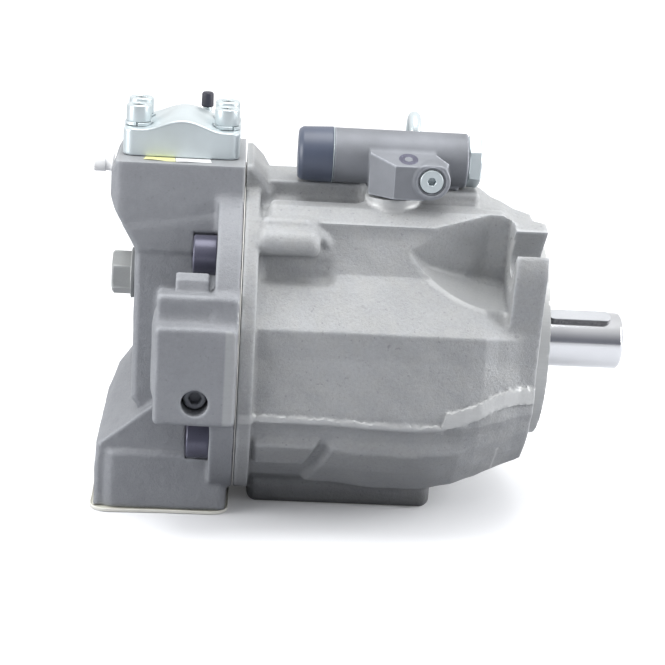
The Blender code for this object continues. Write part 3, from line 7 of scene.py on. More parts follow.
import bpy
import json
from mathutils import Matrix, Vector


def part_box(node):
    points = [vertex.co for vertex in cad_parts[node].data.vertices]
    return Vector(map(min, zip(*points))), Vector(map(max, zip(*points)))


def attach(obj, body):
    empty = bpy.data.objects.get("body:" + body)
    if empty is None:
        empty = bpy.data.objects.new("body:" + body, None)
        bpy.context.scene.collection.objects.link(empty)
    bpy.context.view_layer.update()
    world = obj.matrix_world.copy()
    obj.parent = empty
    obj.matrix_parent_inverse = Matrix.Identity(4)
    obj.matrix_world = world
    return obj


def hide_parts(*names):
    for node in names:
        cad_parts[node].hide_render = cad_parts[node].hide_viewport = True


bl_info = {
    "name": "Axial piston pump",
    "version": (1, 0, 0),
    "blender": (4, 5, 0),
    "location": "View3D > Sidebar > Pump",
    "description": "Castings, screws, valve, shaft and stage of a swashplate axial piston pump",
    "category": "Add Mesh",
}

import json
import math

import bmesh
import bpy
import numpy as np
from mathutils import Matrix, Vector

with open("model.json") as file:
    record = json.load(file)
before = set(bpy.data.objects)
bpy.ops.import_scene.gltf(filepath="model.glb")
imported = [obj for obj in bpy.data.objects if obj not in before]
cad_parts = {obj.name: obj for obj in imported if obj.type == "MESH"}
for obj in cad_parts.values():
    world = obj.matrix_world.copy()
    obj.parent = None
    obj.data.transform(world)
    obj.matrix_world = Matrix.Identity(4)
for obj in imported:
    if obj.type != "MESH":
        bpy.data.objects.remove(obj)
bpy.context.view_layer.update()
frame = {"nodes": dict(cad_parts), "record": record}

MM = 0.001
MOUNTS = {mount["name"]: mount for mount in frame["record"]["mounts"]}
ORIGIN = np.array([MOUNTS["mounting_face"]["pos_m"][0], 0.0, MOUNTS["shaft_end"]["pos_m"][2]])

# the mounting flange, whose two ears lie on a bolt circle
NEAR_EAR_ANGLE = math.radians(135)
BOLT_CIRCLE_RADIUS = 114.3
# where the castings end: X of the housing's rear, the pilot's front and the port plate's front, Z of the foot, and the
# radius of the rims that meet at the gasket
HOUSING_REAR, PILOT_FRONT, PLATE_FRONT = -223.0, 12.7, -224.2
FOOT_BOTTOM = -136.3
RIM_RADIUS = 128.0
# the pressure port's middle, and how far its screws lie from it along X and Y
PORT_AXIS_X = -273.0
PORT_SCREW_REACH = (33.35, 15.9)
# the crescent boss under the valve (X, Y), the valve's axis (Y, Z) and its side screw (X, Z)
CRESCENT_PLACE = (-113.0, -46.0)
VALVE_CENTRE = (-35.0, 147.5)
SIDE_SCREW_PLACE = (-86.5, 138.0)
# the valve's sloped facet: its normal, and the (Y, Z) of its lower edge
FACET_SLOPE = (0.0, -0.375, 0.927)
FACET_EDGE = (-71.6, 148.6)
# the middle of the lifting eye's ring
EYE_CENTRE = (-93.0, 32.0, 151.0)
# how far the key is turned from upright towards the near side
KEY_ANGLE = math.radians(27)
# of the two film tabs
FILM_THICKNESS = 0.22
# of the camera
SENSOR_WIDTH = 36.0
# points closer than this, in metres, are joined into one
JOIN_REACH = 0.000005
# a Mix node in its colour mode: its inputs for the share and the two colours, and its output
MIX_INPUTS = (0, 6, 7)
MIX_OUTPUT = 2


def corners(node):
    """The lowest and highest corner of a CAD node, in millimetres of the pump's own frame."""
    return [(np.array(corner) - ORIGIN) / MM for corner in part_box(node)]


def centre_of(node):
    """The middle of a CAD node's box."""
    low, high = corners(node)
    return (low + high) / 2


# ---------------------------------------------------------------- shapes given by a distance in space


def box_field(p, low, high, rounding=2.0):
    """Distance to a box with round edges: the length of what lies outside the inner box, less the rounding."""
    over = [np.abs(v - (a + b) / 2) - ((b - a) / 2 - rounding) for v, a, b in zip(p, low, high)]
    outside = np.sqrt(sum(np.maximum(q, 0) ** 2 for q in over))
    inside = np.minimum(np.maximum(np.maximum(over[0], over[1]), over[2]), 0)
    return outside + inside - rounding


def both(across, along, rounding):
    """Distance to what is inside two distances at once, with the edge between them rounded."""
    a = across + rounding
    b = along + rounding
    return np.sqrt(np.maximum(a, 0) ** 2 + np.maximum(b, 0) ** 2) + np.minimum(np.maximum(a, b), 0) - rounding


def between(v, start, end):
    """Distance to the slab from start to end."""
    return np.abs(v - (start + end) / 2) - (end - start) / 2


def drum_field(p, axis, across, radius, start, end, rounding=1.0):
    """Distance to a cylinder along an axis (0, 1 or 2); across gives its place along the other two."""
    first, second = [p[i] for i in range(3) if i != axis]
    ring = np.hypot(first - across[0], second - across[1]) - radius
    return both(ring, between(p[axis], start, end), rounding)


def polygon_distance(u, v, outline):
    """Distance to a closed outline: that of its nearest edge, negative inside.

    A place is inside where a ray from it crosses the outline an odd number of times.
    """
    nearest = None
    sign = 1.0
    for (au, av), (bu, bv) in zip(outline, outline[-1:] + outline[:-1]):
        eu, ev = bu - au, bv - av
        wu, wv = u - au, v - av
        t = np.clip((wu * eu + wv * ev) / (eu * eu + ev * ev), 0, 1)
        squared = (wu - eu * t) ** 2 + (wv - ev * t) ** 2
        nearest = squared if nearest is None else np.minimum(nearest, squared)
        above, below, left = v >= av, v < bv, eu * wv > ev * wu
        crossed = (above & below & left) | (~above & ~below & ~left)
        sign = sign * np.where(crossed, -1.0, 1.0)
    return sign * np.sqrt(nearest)


def prism_field(p, axis, outline, start, end, rounding=2.0):
    """Distance to an outline drawn out along an axis, with round edges."""
    first, second = [p[i] for i in range(3) if i != axis]
    return both(polygon_distance(first, second, outline), between(p[axis], start, end), rounding)


def weld(a, b, fillet):
    """Two shapes joined by a fillet: the lesser distance, lowered by a parabola where they come close."""
    near = np.maximum(fillet - np.abs(a - b), 0)
    return np.minimum(a, b) - near * near / (4 * fillet)


def carve(a, b, fillet):
    """The first shape without the second, with a rounded edge."""
    return -weld(-a, b, fillet)


def meet(a, b, fillet):
    """What both shapes hold, with a rounded edge."""
    return -weld(-a, -b, fillet)


def rise(v, start, end):
    """0 before start, 1 after end, and a smooth cubic step between."""
    t = np.clip((v - start) / (end - start), 0, 1)
    return t * t * (3 - 2 * t)


def plateau(v, start, end, soft):
    """1 between start and end, falling smoothly to 0 within soft on both sides."""
    return rise(v, start, start + soft) * (1 - rise(v, end - soft, end))


def waviness(p, size, depth):
    """The slight unevenness of a sand casting: products of sines that don't repeat together."""
    x, y, z = [v / size for v in p]
    return depth * (np.sin(1.7 * x + 0.9 * y) * np.sin(1.3 * y - 0.7 * z + 1.1) + np.sin(2.3 * z + 1.9 * x - 0.4 * y))


def slopes(field, points, reach=0.05):
    """Unit normals of a field at points, from four samples on a tetrahedron."""
    total = np.zeros_like(points)
    for corner in ((1, -1, -1), (-1, -1, 1), (-1, 1, -1), (1, 1, 1)):
        corner = np.array(corner, float)
        sample = points + reach * corner
        total += field([sample[:, 0], sample[:, 1], sample[:, 2]])[:, None] * corner
    return total / np.maximum(np.linalg.norm(total, axis=1, keepdims=True), 1e-12)


def skin_of(field, low, high, step):
    """Points and quads of a field's zero surface, by dual contouring.

    Each cell that the surface passes gets one point, the one nearest to all the tangent planes where the surface
    crosses the cell's edges, so machined edges stay sharp. Each crossed grid edge gets the quad of its four cells.
    """
    before, after = 1.6 * step, 2.2 * step  # how far the grid reaches past the two corners
    hold = 0.03  # how strongly a point is held at the middle of its crossings, where the planes leave it free
    leash = 0.55 * step  # how far a point may stand from the middle of its cell
    lines = [np.arange(a - before, b + after, step) for a, b in zip(low, high)]
    grid = [line.astype(np.float32) for line in np.meshgrid(*lines, indexing="ij", sparse=True)]
    shape = tuple(len(line) for line in lines)
    value = np.broadcast_to(field(grid), shape)
    inside = value < 0
    base = np.array([line[0] for line in lines])
    cell_shape = tuple(n - 1 for n in shape)
    places, quads = [], []
    for axis in range(3):
        head = tuple(slice(None, -1) if i == axis else slice(None) for i in range(3))
        tail = tuple(slice(1, None) if i == axis else slice(None) for i in range(3))
        index = np.argwhere(inside[head] != inside[tail])
        unit = np.eye(3, dtype=int)[axis]
        start = base + index * step
        near, far = np.zeros(len(index)), np.ones(len(index))
        at_near = value[tuple(index.T)].astype(float)
        outward = at_near < 0
        at_far = value[tuple((index + unit).T)].astype(float)
        for _ in range(3):
            middle = near + (far - near) * np.clip(at_near / (at_near - at_far), 0.02, 0.98)
            sample = start + middle[:, None] * unit * step
            got = field([sample[:, 0], sample[:, 1], sample[:, 2]])
            same = (got < 0) == (at_near < 0)
            near, at_near = np.where(same, middle, near), np.where(same, got, at_near)
            far, at_far = np.where(same, far, middle), np.where(same, at_far, got)
        middle = near + (far - near) * np.clip(at_near / (at_near - at_far), 0, 1)
        places.append(start + middle[:, None] * unit * step)
        b, c = np.eye(3, dtype=int)[(axis + 1) % 3], np.eye(3, dtype=int)[(axis + 2) % 3]
        around = [index - b - c, index - c, index, index - b]
        ids = np.stack([np.ravel_multi_index(tuple(cell.T), cell_shape) for cell in around], axis=1)
        ids[~outward] = ids[~outward][:, ::-1]
        quads.append(ids)
    places, quads = np.concatenate(places), np.concatenate(quads)
    normals = slopes(field, places)
    cells, quads = np.unique(quads, return_inverse=True)
    quads = quads.reshape(-1, 4)
    flat = quads.ravel()
    owner = np.repeat(np.arange(len(quads)), 4)
    count = np.bincount(flat, minlength=len(cells))

    def summed(weights):
        """The total of a number of each crossing, over the crossings round each cell."""
        return np.bincount(flat, weights=weights[owner], minlength=len(cells))

    middle = np.stack([summed(places[:, i]) for i in range(3)], axis=1) / count[:, None]
    offset = np.sum(normals * places, axis=1)
    spread = np.stack([summed(normals[:, i] * normals[:, j]) for i in range(3) for j in range(3)], axis=1)
    spread = spread.reshape(-1, 3, 3)
    pull = np.stack([summed(normals[:, i] * offset) for i in range(3)], axis=1)
    pull -= np.einsum("nij,nj->ni", spread, middle)
    steady = spread + hold * count[:, None, None] * np.eye(3)
    points = middle + np.linalg.solve(steady, pull[:, :, None])[:, :, 0]
    centre = base + (np.stack(np.unravel_index(cells, cell_shape), axis=1) + 0.5) * step
    return np.clip(points, centre - leash, centre + leash), quads


# ---------------------------------------------------------------- shapes given by a grid of two parameters


def softened(outline, radius, steps=3):
    """A profile whose corners are replaced by parabolas: each is the point mix (1-t)^2 a + 2t(1-t) b + t^2 c."""
    rows = [np.array(row, float) for row in outline]
    done = [rows[0]]
    for a, b, c in zip(rows, rows[1:], rows[2:]):
        before, after = np.linalg.norm((a - b)[:2]), np.linalg.norm((c - b)[:2])
        reach = min(radius, 0.4 * before, 0.4 * after)
        if reach < 0.02:
            done.append(b)
            continue
        start, end = b + (a - b) * reach / before, b + (c - b) * reach / after
        for t in np.linspace(0, 1, steps + 1):
            done.append((1 - t) ** 2 * start + 2 * t * (1 - t) * b + t * t * end)
    return np.array(done + [rows[-1]])


def turned(outline, centre, axis=(1.0, 0.0, 0.0), sides=64, softness=0.6, phase=0.0):
    """A turned piece: rows of (along, radius, hexagon share) swept round an axis, with a pole at each closed end.

    A point is centre + along * axis + r * (cos a * side + sin a * other). Its r is the row's radius times the mix of
    1 and cos 30 / cos(a mod 60 - 30), which is a hexagon with that radius at its corners.
    """
    rows = softened([(*row, 0.0)[:3] for row in outline], softness)
    along, radius, hexed = rows.T
    angle = 2 * np.pi * np.arange(sides) / sides
    flats = math.cos(math.pi / 6) / np.cos((angle + phase) % (np.pi / 3) - np.pi / 6)
    reach = radius[:, None] * (1 + hexed[:, None] * (flats - 1))
    axis = np.array(Vector(axis).normalized())
    helper = np.array([0.0, 0.0, 1.0]) if abs(axis[2]) < 0.9 else np.array([1.0, 0.0, 0.0])
    side = np.cross(helper, axis)
    side /= np.linalg.norm(side)
    other = np.cross(axis, side)
    wheel = np.cos(angle)[:, None] * side + np.sin(angle)[:, None] * other
    points = np.array(centre) + along[:, None, None] * axis + reach[:, :, None] * wheel
    closed = rows[0][1] > 0
    return wrapped(points.reshape(-1, 3), len(rows), sides, closed)


def wrapped(points, rows, sides, ring=False):
    """Points and quads of a grid that closes round its sides, and from its last row to its first if it is a ring."""
    row = np.arange(rows if ring else rows - 1)[:, None]
    column = np.arange(sides)[None, :]
    after, beside = (row + 1) % rows, (column + 1) % sides
    quads = np.stack([row * sides + column, row * sides + beside, after * sides + beside, after * sides + column], 2)
    return points, quads.reshape(-1, 4)


def swept(path, tangent_up, profile, closed=True):
    """A profile of (out, up) points carried along a path; out is the path's own sideways direction."""
    path = np.array(path, float)
    ahead = np.roll(path, -1, 0) - np.roll(path, 1, 0)
    if not closed:
        ahead[0], ahead[-1] = path[1] - path[0], path[-1] - path[-2]
    up = np.array(tangent_up, float)
    out = np.cross(ahead, up)
    out /= np.linalg.norm(out, axis=1, keepdims=True)
    profile = np.array(profile, float)
    points = path[:, None] + profile[None, :, :1] * out[:, None] + profile[None, :, 1:] * up
    return wrapped(points.reshape(-1, 3), len(path), len(profile), closed)


# ---------------------------------------------------------------- pieces


def add_piece(name, surface, finish, nodes=(), sharp=35.0, body="housing", capped=False):
    """A finished piece: its mesh in metres, smooth but for sharp edges, on its body and in place of its CAD nodes.

    The surface is points in millimetres and quads; edges sharper than an angle in degrees stay sharp.
    """
    points, quads = surface
    mesh = bpy.data.meshes.new(name)
    place = np.asarray(points, float) * MM + ORIGIN
    mesh.vertices.add(len(place))
    mesh.vertices.foreach_set("co", place.astype(np.float32).ravel())
    quads = np.asarray(quads, np.int32)
    mesh.loops.add(quads.size)
    mesh.loops.foreach_set("vertex_index", quads.ravel())
    mesh.polygons.add(len(quads))
    mesh.polygons.foreach_set("loop_start", np.arange(len(quads), dtype=np.int32) * quads.shape[1])
    mesh.update(calc_edges=True)
    mesh.validate()
    tidy(mesh, capped)
    mesh.shade_smooth()
    mesh.set_sharp_from_angle(angle=math.radians(sharp))
    mesh.materials.append(MATERIALS[finish])
    piece = bpy.data.objects.new(name, mesh)
    bpy.context.scene.collection.objects.link(piece)
    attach(piece, body)
    if nodes:
        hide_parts(*nodes)
    return piece


def tidy(mesh, capped):
    """Joins doubled points at the poles, closes open ends if asked, and turns every face outwards."""
    bm = bmesh.new()
    bm.from_mesh(mesh)
    bmesh.ops.remove_doubles(bm, verts=bm.verts, dist=JOIN_REACH)
    if capped:
        bmesh.ops.holes_fill(bm, edges=[e for e in bm.edges if e.is_boundary], sides=0)
    bmesh.ops.recalc_face_normals(bm, faces=bm.faces)
    bm.to_mesh(mesh)
    bm.free()


def mark(piece, name, values):
    """Gives each point of a piece a number that its material reads."""
    attribute = piece.data.attributes.new(name, "FLOAT", "POINT")
    attribute.data.foreach_set("value", values.astype(np.float32))


def points_of(piece):
    """The points of a piece in millimetres of the pump's own frame."""
    count = len(piece.data.vertices)
    place = np.zeros(count * 3, np.float32)
    piece.data.vertices.foreach_get("co", place)
    return (place.reshape(-1, 3) - ORIGIN) / MM


# ---------------------------------------------------------------- materials


class Recipe:
    """A new node material with short ways to add and link nodes."""

    def __init__(self, name):
        self.material = bpy.data.materials.new(name)
        self.material.use_nodes = True
        self.tree = self.material.node_tree
        self.shader = self.tree.nodes["Principled BSDF"]
        self.place = self.node("ShaderNodeTexCoord").outputs["Object"]

    def node(self, kind, **values):
        """A node with its inputs set or linked by name."""
        made = self.tree.nodes.new(kind)
        for name, value in values.items():
            self.give(made.inputs[name.replace("_", " ")], value)
        return made

    def give(self, socket, value):
        """Sets an input, or links it to another node's output; a colour gets its fourth number here."""
        if isinstance(value, bpy.types.NodeSocket):
            self.tree.links.new(value, socket)
        elif socket.type == "RGBA":
            socket.default_value = (*value[:3], 1.0)
        else:
            socket.default_value = value

    def noise(self, scale, detail=3.0, roughness=0.5, stretch=(1, 1, 1), distortion=0.0):
        """Noise over the object's own coordinates."""
        mapped = self.node("ShaderNodeMapping", Vector=self.place, Scale=stretch).outputs["Vector"]
        made = self.node("ShaderNodeTexNoise", Vector=mapped, Scale=scale, Detail=detail, Roughness=roughness,
                         Distortion=distortion)
        return made.outputs["Fac"]

    def ramp(self, value, low, high, dark=0.0, light=1.0):
        """A value stretched between two limits, clamped."""
        made = self.node("ShaderNodeMapRange", Value=value, From_Min=low, From_Max=high, To_Min=dark, To_Max=light)
        return made.outputs["Result"]

    def math(self, operation, *values):
        """Arithmetic on values."""
        node = self.tree.nodes.new("ShaderNodeMath")
        node.operation = operation
        for socket, value in zip(node.inputs, values):
            self.give(socket, value)
        return node.outputs[0]

    def less(self, value, share, strength):
        """A value lowered by a share times a strength."""
        return self.math("SUBTRACT", value, self.math("MULTIPLY", share, strength))

    def blend(self, share, a, b):
        """Mixes two colours."""
        node = self.tree.nodes.new("ShaderNodeMix")
        node.data_type = "RGBA"
        for number, value in zip(MIX_INPUTS, (share, a, b)):
            self.give(node.inputs[number], value)
        return node.outputs[MIX_OUTPUT]

    def over(self, base, share, strength, colour):
        """A colour with another laid over it, as strongly as a share times a strength."""
        return self.blend(self.math("MULTIPLY", share, strength), base, colour)

    def attribute(self, name):
        """A number that the piece's points carry."""
        node = self.tree.nodes.new("ShaderNodeAttribute")
        node.attribute_name = name
        return node.outputs["Fac"]

    def edges(self, low=0.51, high=0.56):
        """1 on outer edges and 0 on flats and hollows."""
        return self.ramp(self.node("ShaderNodeNewGeometry").outputs["Pointiness"], low, high)

    def hollows(self, low=0.44, high=0.49):
        """1 in hollows and 0 on flats and edges."""
        return self.ramp(self.node("ShaderNodeNewGeometry").outputs["Pointiness"], low, high, 1.0, 0.0)

    def bump(self, height, distance, strength=1.0, normal=None):
        """Bump from a height between 0 and 1; distance is in metres."""
        node = self.node("ShaderNodeBump", Height=height, Distance=distance, Strength=strength)
        if normal is not None:
            self.give(node.inputs["Normal"], normal)
        return node.outputs["Normal"]

    def finish(self, **values):
        """Sets or links the shader's inputs and returns the material."""
        for name, value in values.items():
            self.give(self.shader.inputs[name.replace("_", " ")], value)
        return self.material


def shade(colour, factor):
    """A colour made lighter or darker."""
    return tuple(min(1.0, c * factor) for c in colour)


def cast_iron(name, colour, machined, warmth, sandy):
    """Sand-cast iron: cloudy tone, fine grain, dark pits, painted shade in hollows and where marked, edges lightened
    partly as wear and partly as a painted highlight, and milled faces and painted light where marked.
    """
    r = Recipe(name)
    clouds = r.ramp(r.noise(14, 4, 0.55), 0.3, 0.7)
    patches = r.ramp(r.noise(70, 5, 0.65, distortion=0.8), 0.38, 0.66)
    sand = r.noise(430, 4, 0.7)
    grain = r.noise(1000, 3, 0.65)
    pits = r.ramp(r.noise(330, 2, 0.5), 0.66, 0.74)
    base = r.blend(clouds, shade(colour, 0.9), shade(colour, 1.08))
    base = r.over(base, patches, 0.4, warmth)
    base = r.over(base, r.ramp(sand, 0.5, 0.7), sandy, shade(colour, 1.3))
    base = r.over(base, r.ramp(sand, 0.47, 0.28), sandy, shade(colour, 0.68))
    base = r.over(base, pits, 1.2 * sandy, shade(colour, 0.42))
    # painted shade: the hollows are darkened
    base = r.over(base, r.hollows(), 0.4, shade(colour, 0.5))
    # the edges are lightened, partly as wear and partly as a painted highlight
    base = r.over(base, r.edges(0.51, 0.57), 0.45, shade(colour, 1.8))
    # painted shade where the points are marked
    base = r.over(base, r.attribute("painted_shade"), 0.75, shade(colour, 0.22))
    # milled faces, and places lightened as painted light, take the machined colour where they are marked
    milled_and_painted_light = r.attribute("milled_and_painted_light")
    lines = r.noise(60, 3, 0.6, stretch=(0.4, 14, 14))
    face = r.blend(lines, shade(machined, 0.88), shade(machined, 1.08))
    base = r.blend(milled_and_painted_light, base, face)
    rough = r.less(r.ramp(grain, 0.3, 0.7, 0.5, 0.66), milled_and_painted_light, 0.22)
    waves = r.bump(r.noise(120, 3, 0.55), 0.0012, r.less(0.45, milled_and_painted_light, 0.45))
    coarse = r.bump(sand, 0.0010, r.less(0.2 + sandy, milled_and_painted_light, 0.15 + sandy), waves)
    fine = r.bump(grain, 0.0005, r.less(0.6, milled_and_painted_light, 0.5), coarse)
    return r.finish(Base_Color=base, Metallic=0.25, Roughness=rough, Normal=fine)


def zinc_plate(name, colour):
    """Bright zinc plate: cool silver with faint clouds, lighter edges and painted shade in the marked socket hollows.
    """
    r = Recipe(name)
    clouds = r.ramp(r.noise(40, 4, 0.5), 0.3, 0.7)
    base = r.blend(clouds, shade(colour, 0.93), shade(colour, 1.05))
    base = r.over(base, r.edges(0.53, 0.6), 0.5, shade(colour, 1.3))
    # painted shade in the marked socket hollows
    base = r.blend(r.attribute("painted_shade"), base, shade(colour, 0.1))
    return r.finish(Base_Color=base, Metallic=0.45, Roughness=r.ramp(clouds, 0, 1, 0.29, 0.36))


def steel(name, colour, roughness, lines=(30, 1, 1), metallic=1.0):
    """Ground or turned steel: fine lines across one axis and slight changes of tone."""
    r = Recipe(name)
    grind = r.noise(220, 3, 0.6, stretch=lines)
    tone = r.ramp(r.noise(25, 3, 0.5), 0.3, 0.7)
    base = r.blend(tone, shade(colour, 0.94), shade(colour, 1.04))
    base = r.over(base, r.ramp(grind, 0.3, 0.7), 0.15, shade(colour, 0.7))
    rough = r.ramp(grind, 0.3, 0.7, roughness * 0.8, roughness * 1.3)
    return r.finish(Base_Color=base, Metallic=metallic, Roughness=rough, Normal=r.bump(grind, 0.00004, 0.3))


def key_steel(name, colour, ground):
    """Drawn key steel: dark mottled scale on its sides and a ground top where marked."""
    r = Recipe(name)
    scale = r.ramp(r.noise(700, 4, 0.6), 0.35, 0.65)
    base = r.blend(scale, shade(colour, 0.5), shade(colour, 1.5))
    base = r.blend(r.attribute("milled_and_painted_light"), base, ground)
    return r.finish(Base_Color=base, Metallic=0.7, Roughness=r.ramp(scale, 0, 1, 0.5, 0.35),
                    Normal=r.bump(scale, 0.0001, 0.5))


def coated_steel(name, colour, roughness, wear):
    """Phosphated or oxidised steel: dark with fine grain, lighter on worn edges."""
    r = Recipe(name)
    clouds = r.ramp(r.noise(30, 4, 0.55), 0.3, 0.7)
    grain = r.noise(1300, 2, 0.6)
    base = r.blend(clouds, shade(colour, 0.85), shade(colour, 1.15))
    base = r.over(base, r.ramp(grain, 0.4, 0.7), 0.2, shade(colour, 1.5))
    base = r.over(base, r.edges(), wear, shade(colour, 2.6))
    rough = r.ramp(grain, 0.3, 0.7, roughness * 0.85, roughness * 1.15)
    return r.finish(Base_Color=base, Metallic=0.35, Roughness=rough, Normal=r.bump(grain, 0.0001, 0.4))


def plastic(name, colour, roughness):
    """Moulded plastic, rubber or film: even colour with faint clouds, a fine grain and slightly paler edges."""
    r = Recipe(name)
    clouds = r.ramp(r.noise(60, 3, 0.5), 0.3, 0.7)
    grain = r.noise(1500, 2, 0.5)
    base = r.blend(clouds, shade(colour, 0.93), shade(colour, 1.06))
    base = r.over(base, r.edges(), 0.25, shade(colour, 1.6))
    rough = r.ramp(grain, 0.3, 0.7, roughness * 0.85, roughness * 1.15)
    return r.finish(Base_Color=base, Roughness=rough, Normal=r.bump(grain, 0.00008, 0.4))


def glowing_paper(name, colour, bounce):
    """Floor paper: white to the viewer and brighter further out, half as white in metal, and duller on the pump."""
    r = Recipe(name)
    seen = r.node("ShaderNodeLightPath").outputs
    direct = r.math("MULTIPLY_ADD", seen["Is Glossy Ray"], 0.5, seen["Is Camera Ray"])
    clear = r.math("MAXIMUM", direct, seen["Is Transmission Ray"])
    away = r.tree.nodes.new("ShaderNodeVectorMath")
    away.operation = "LENGTH"
    r.give(away.inputs[0], r.place)
    glow = r.math("MULTIPLY", r.ramp(away.outputs["Value"], 0.25, 3.0, 0.05, 0.6), clear)
    return r.finish(Base_Color=r.blend(clear, bounce, colour), Emission_Color=(1, 1, 1), Emission_Strength=glow,
                    Roughness=1.0, Specular_IOR_Level=0.0)


# ---------------------------------------------------------------- settings


def colour_property(name, description, default):
    """A colour that a user may change."""
    return bpy.props.FloatVectorProperty(name=name, description=description, subtype="COLOR", size=3, min=0, max=1,
                                         default=default)


def length_property(name, description, default):
    """A length in millimetres that a user may change."""
    return bpy.props.FloatProperty(name=name, description=description, default=default, min=0.0, soft_max=400.0)


class PumpSizes(bpy.types.PropertyGroup):
    """Sizes of the castings' details, in millimetres."""

    casting_step: bpy.props.FloatProperty(
        name="Casting step", description="Spacing of the points on the castings in mm", default=1.85, min=1.0, max=6.0)
    detail_step: bpy.props.FloatProperty(
        name="Detail step", description="Spacing of the points on small pieces in mm", default=0.8, min=0.3, max=4.0)
    cast_fillet: length_property("Cast fillet", "Fillet between the castings' masses", 7.0)
    bead_height: length_property("Parting bead", "How far the parting bead stands out", 1.7)
    pilot_radius: length_property("Pilot radius", "Radius of the centring pilot", 76.2)
    flange_thickness: length_property("Flange thickness", "Thickness of the mounting flange", 24.0)
    slot_width: length_property("Slot width", "Width of the two open bolt slots", 20.6)
    pocket_radius: length_property("Pocket radius", "Radius of the pockets behind the slots", 42.0)
    lug_fillet: length_property("Lug edge", "Rounding of the side lug's edges", 4.5)
    crown_height: length_property("Cover crown", "Height of the port cover's crown", 14.0)


class PumpColours(bpy.types.PropertyGroup):
    """Colours of the finishes."""

    housing: colour_property("Housing iron", "Sand-cast iron of the housing", (0.365, 0.375, 0.386))
    plate: colour_property("Port plate iron", "Sand-cast iron of the port plate", (0.265, 0.275, 0.295))
    # also laid as painted light on the housing's crescent and pocket floor
    milled_and_painted_light: colour_property("Milled iron", "Machined faces of the castings", (0.53, 0.54, 0.54))
    zinc: colour_property("Zinc", "Zinc plate of the cover and its screws", (0.56, 0.62, 0.64))
    valve: colour_property("Valve steel", "Phosphated steel of the control valve", (0.20, 0.21, 0.23))
    black: colour_property("Black oxide", "Black oxide of the plate screws", (0.085, 0.085, 0.12))
    plug: colour_property("Plug steel", "Coated steel of the rear plug", (0.29, 0.30, 0.30))
    cap: colour_property("Valve cap", "Dark moulded cap of the control valve", (0.075, 0.09, 0.13))
    polished: colour_property("Polished steel", "Ground steel of the drive shaft", (0.70, 0.71, 0.735))
    lid: colour_property("Transport lid", "Pale plastic of the suction port's lid", (0.80, 0.79, 0.70))
    floor: colour_property("Floor", "Paper under the pump", (0.92, 0.93, 0.95))
    floor_bounce: colour_property("Floor bounce", "What the paper throws back on the pump", (0.21, 0.215, 0.235))
    room: colour_property("Room", "White walls beyond the pump", (1.0, 1.0, 1.0))
    dark_side: colour_property("Dark side", "The room behind the viewer", (0.20, 0.205, 0.235))


class PumpStage(bpy.types.PropertyGroup):
    """Where the camera stands, seen from the pump's own frame."""

    azimuth: bpy.props.FloatProperty(name="Azimuth", description="Turn of the view about the vertical, in degrees",
                                     default=-3.26)
    elevation: bpy.props.FloatProperty(name="Elevation", description="Height of the view above the level, in degrees",
                                       default=16.98)
    roll: bpy.props.FloatProperty(name="Roll", description="Tilt of the pump in the view, in degrees", default=3.5)
    distance: bpy.props.FloatProperty(name="Distance", description="From the target to the camera", default=1.499,
                                      unit="LENGTH")
    lens: bpy.props.FloatProperty(name="Lens", description="Focal length on a 36 mm sensor", default=102.0)
    target: bpy.props.FloatVectorProperty(name="Target", description="Where the camera looks, in mm", size=3,
                                          default=(-149.07, 0.0, -3.55))


MATERIALS = {}


def build_materials():
    """Makes each finish once, from the scene's colours."""
    c = bpy.context.scene.pump_colours
    MATERIALS.update(
        housing=cast_iron("housing_cast_iron", tuple(c.housing), tuple(c.milled_and_painted_light), (0.41, 0.41, 0.395), 0.32),
        plate=cast_iron("port_plate_cast_iron", tuple(c.plate), tuple(c.milled_and_painted_light), (0.31, 0.32, 0.34), 0.18),
        zinc=zinc_plate("bright_zinc", tuple(c.zinc)),
        valve=coated_steel("phosphated_valve_steel", tuple(c.valve), 0.58, 0.6),
        black=coated_steel("black_oxide", tuple(c.black), 0.32, 0.5),
        plug=coated_steel("grey_plug_steel", tuple(c.plug), 0.4, 0.4),
        polished=steel("polished_shaft_steel", tuple(c.polished), 0.16),
        key=key_steel("mill_scale_key_steel", (0.16, 0.16, 0.165), (0.42, 0.43, 0.45)),
        bearing=steel("ground_bearing_steel", (0.62, 0.63, 0.65), 0.25),
        spring=steel("drawn_spring_steel", (0.42, 0.44, 0.47), 0.35, (1, 1, 1)),
        bronze=steel("machined_bronze", (0.56, 0.40, 0.20), 0.35, metallic=0.9),
        cap=plastic("dark_moulded_cap", tuple(c.cap), 0.38),
        black_plastic=plastic("black_moulded_plastic", (0.03, 0.03, 0.045), 0.45),
        white_plastic=plastic("white_moulded_plastic", (0.97, 0.98, 0.98), 0.5),
        lid=plastic("pale_lid_plastic", tuple(c.lid), 0.42),
        yellow_film=plastic("yellow_film", (0.82, 0.82, 0.38), 0.35),
        white_film=plastic("white_film", (0.85, 0.86, 0.86), 0.35),
        rubber=plastic("seal_rubber", (0.035, 0.035, 0.035), 0.8),
        gasket=plastic("fibre_gasket", (0.72, 0.71, 0.66), 0.85),
    )


# ---------------------------------------------------------------- castings


def flange_plan(y, z, disc, ear):
    """Distance to a disc drawn out to two round ears: the tangent hull of two circles, mirrored through the shaft."""
    ey, ez = math.cos(NEAR_EAR_ANGLE), math.sin(NEAR_EAR_ANGLE)
    along = np.abs(y * ey + z * ez)
    aside = np.abs(z * ey - y * ez)
    lean = (disc - ear) / BOLT_CIRCLE_RADIUS
    upright = math.sqrt(1 - lean * lean)
    along_edge = aside * -lean + along * upright
    side = aside * upright + along * lean - disc
    at_disc = np.hypot(aside, along) - disc
    at_ear = np.hypot(aside, along - BOLT_CIRCLE_RADIUS) - ear
    return np.where(along_edge < 0, at_disc, np.where(along_edge > upright * BOLT_CIRCLE_RADIUS, at_ear, side))


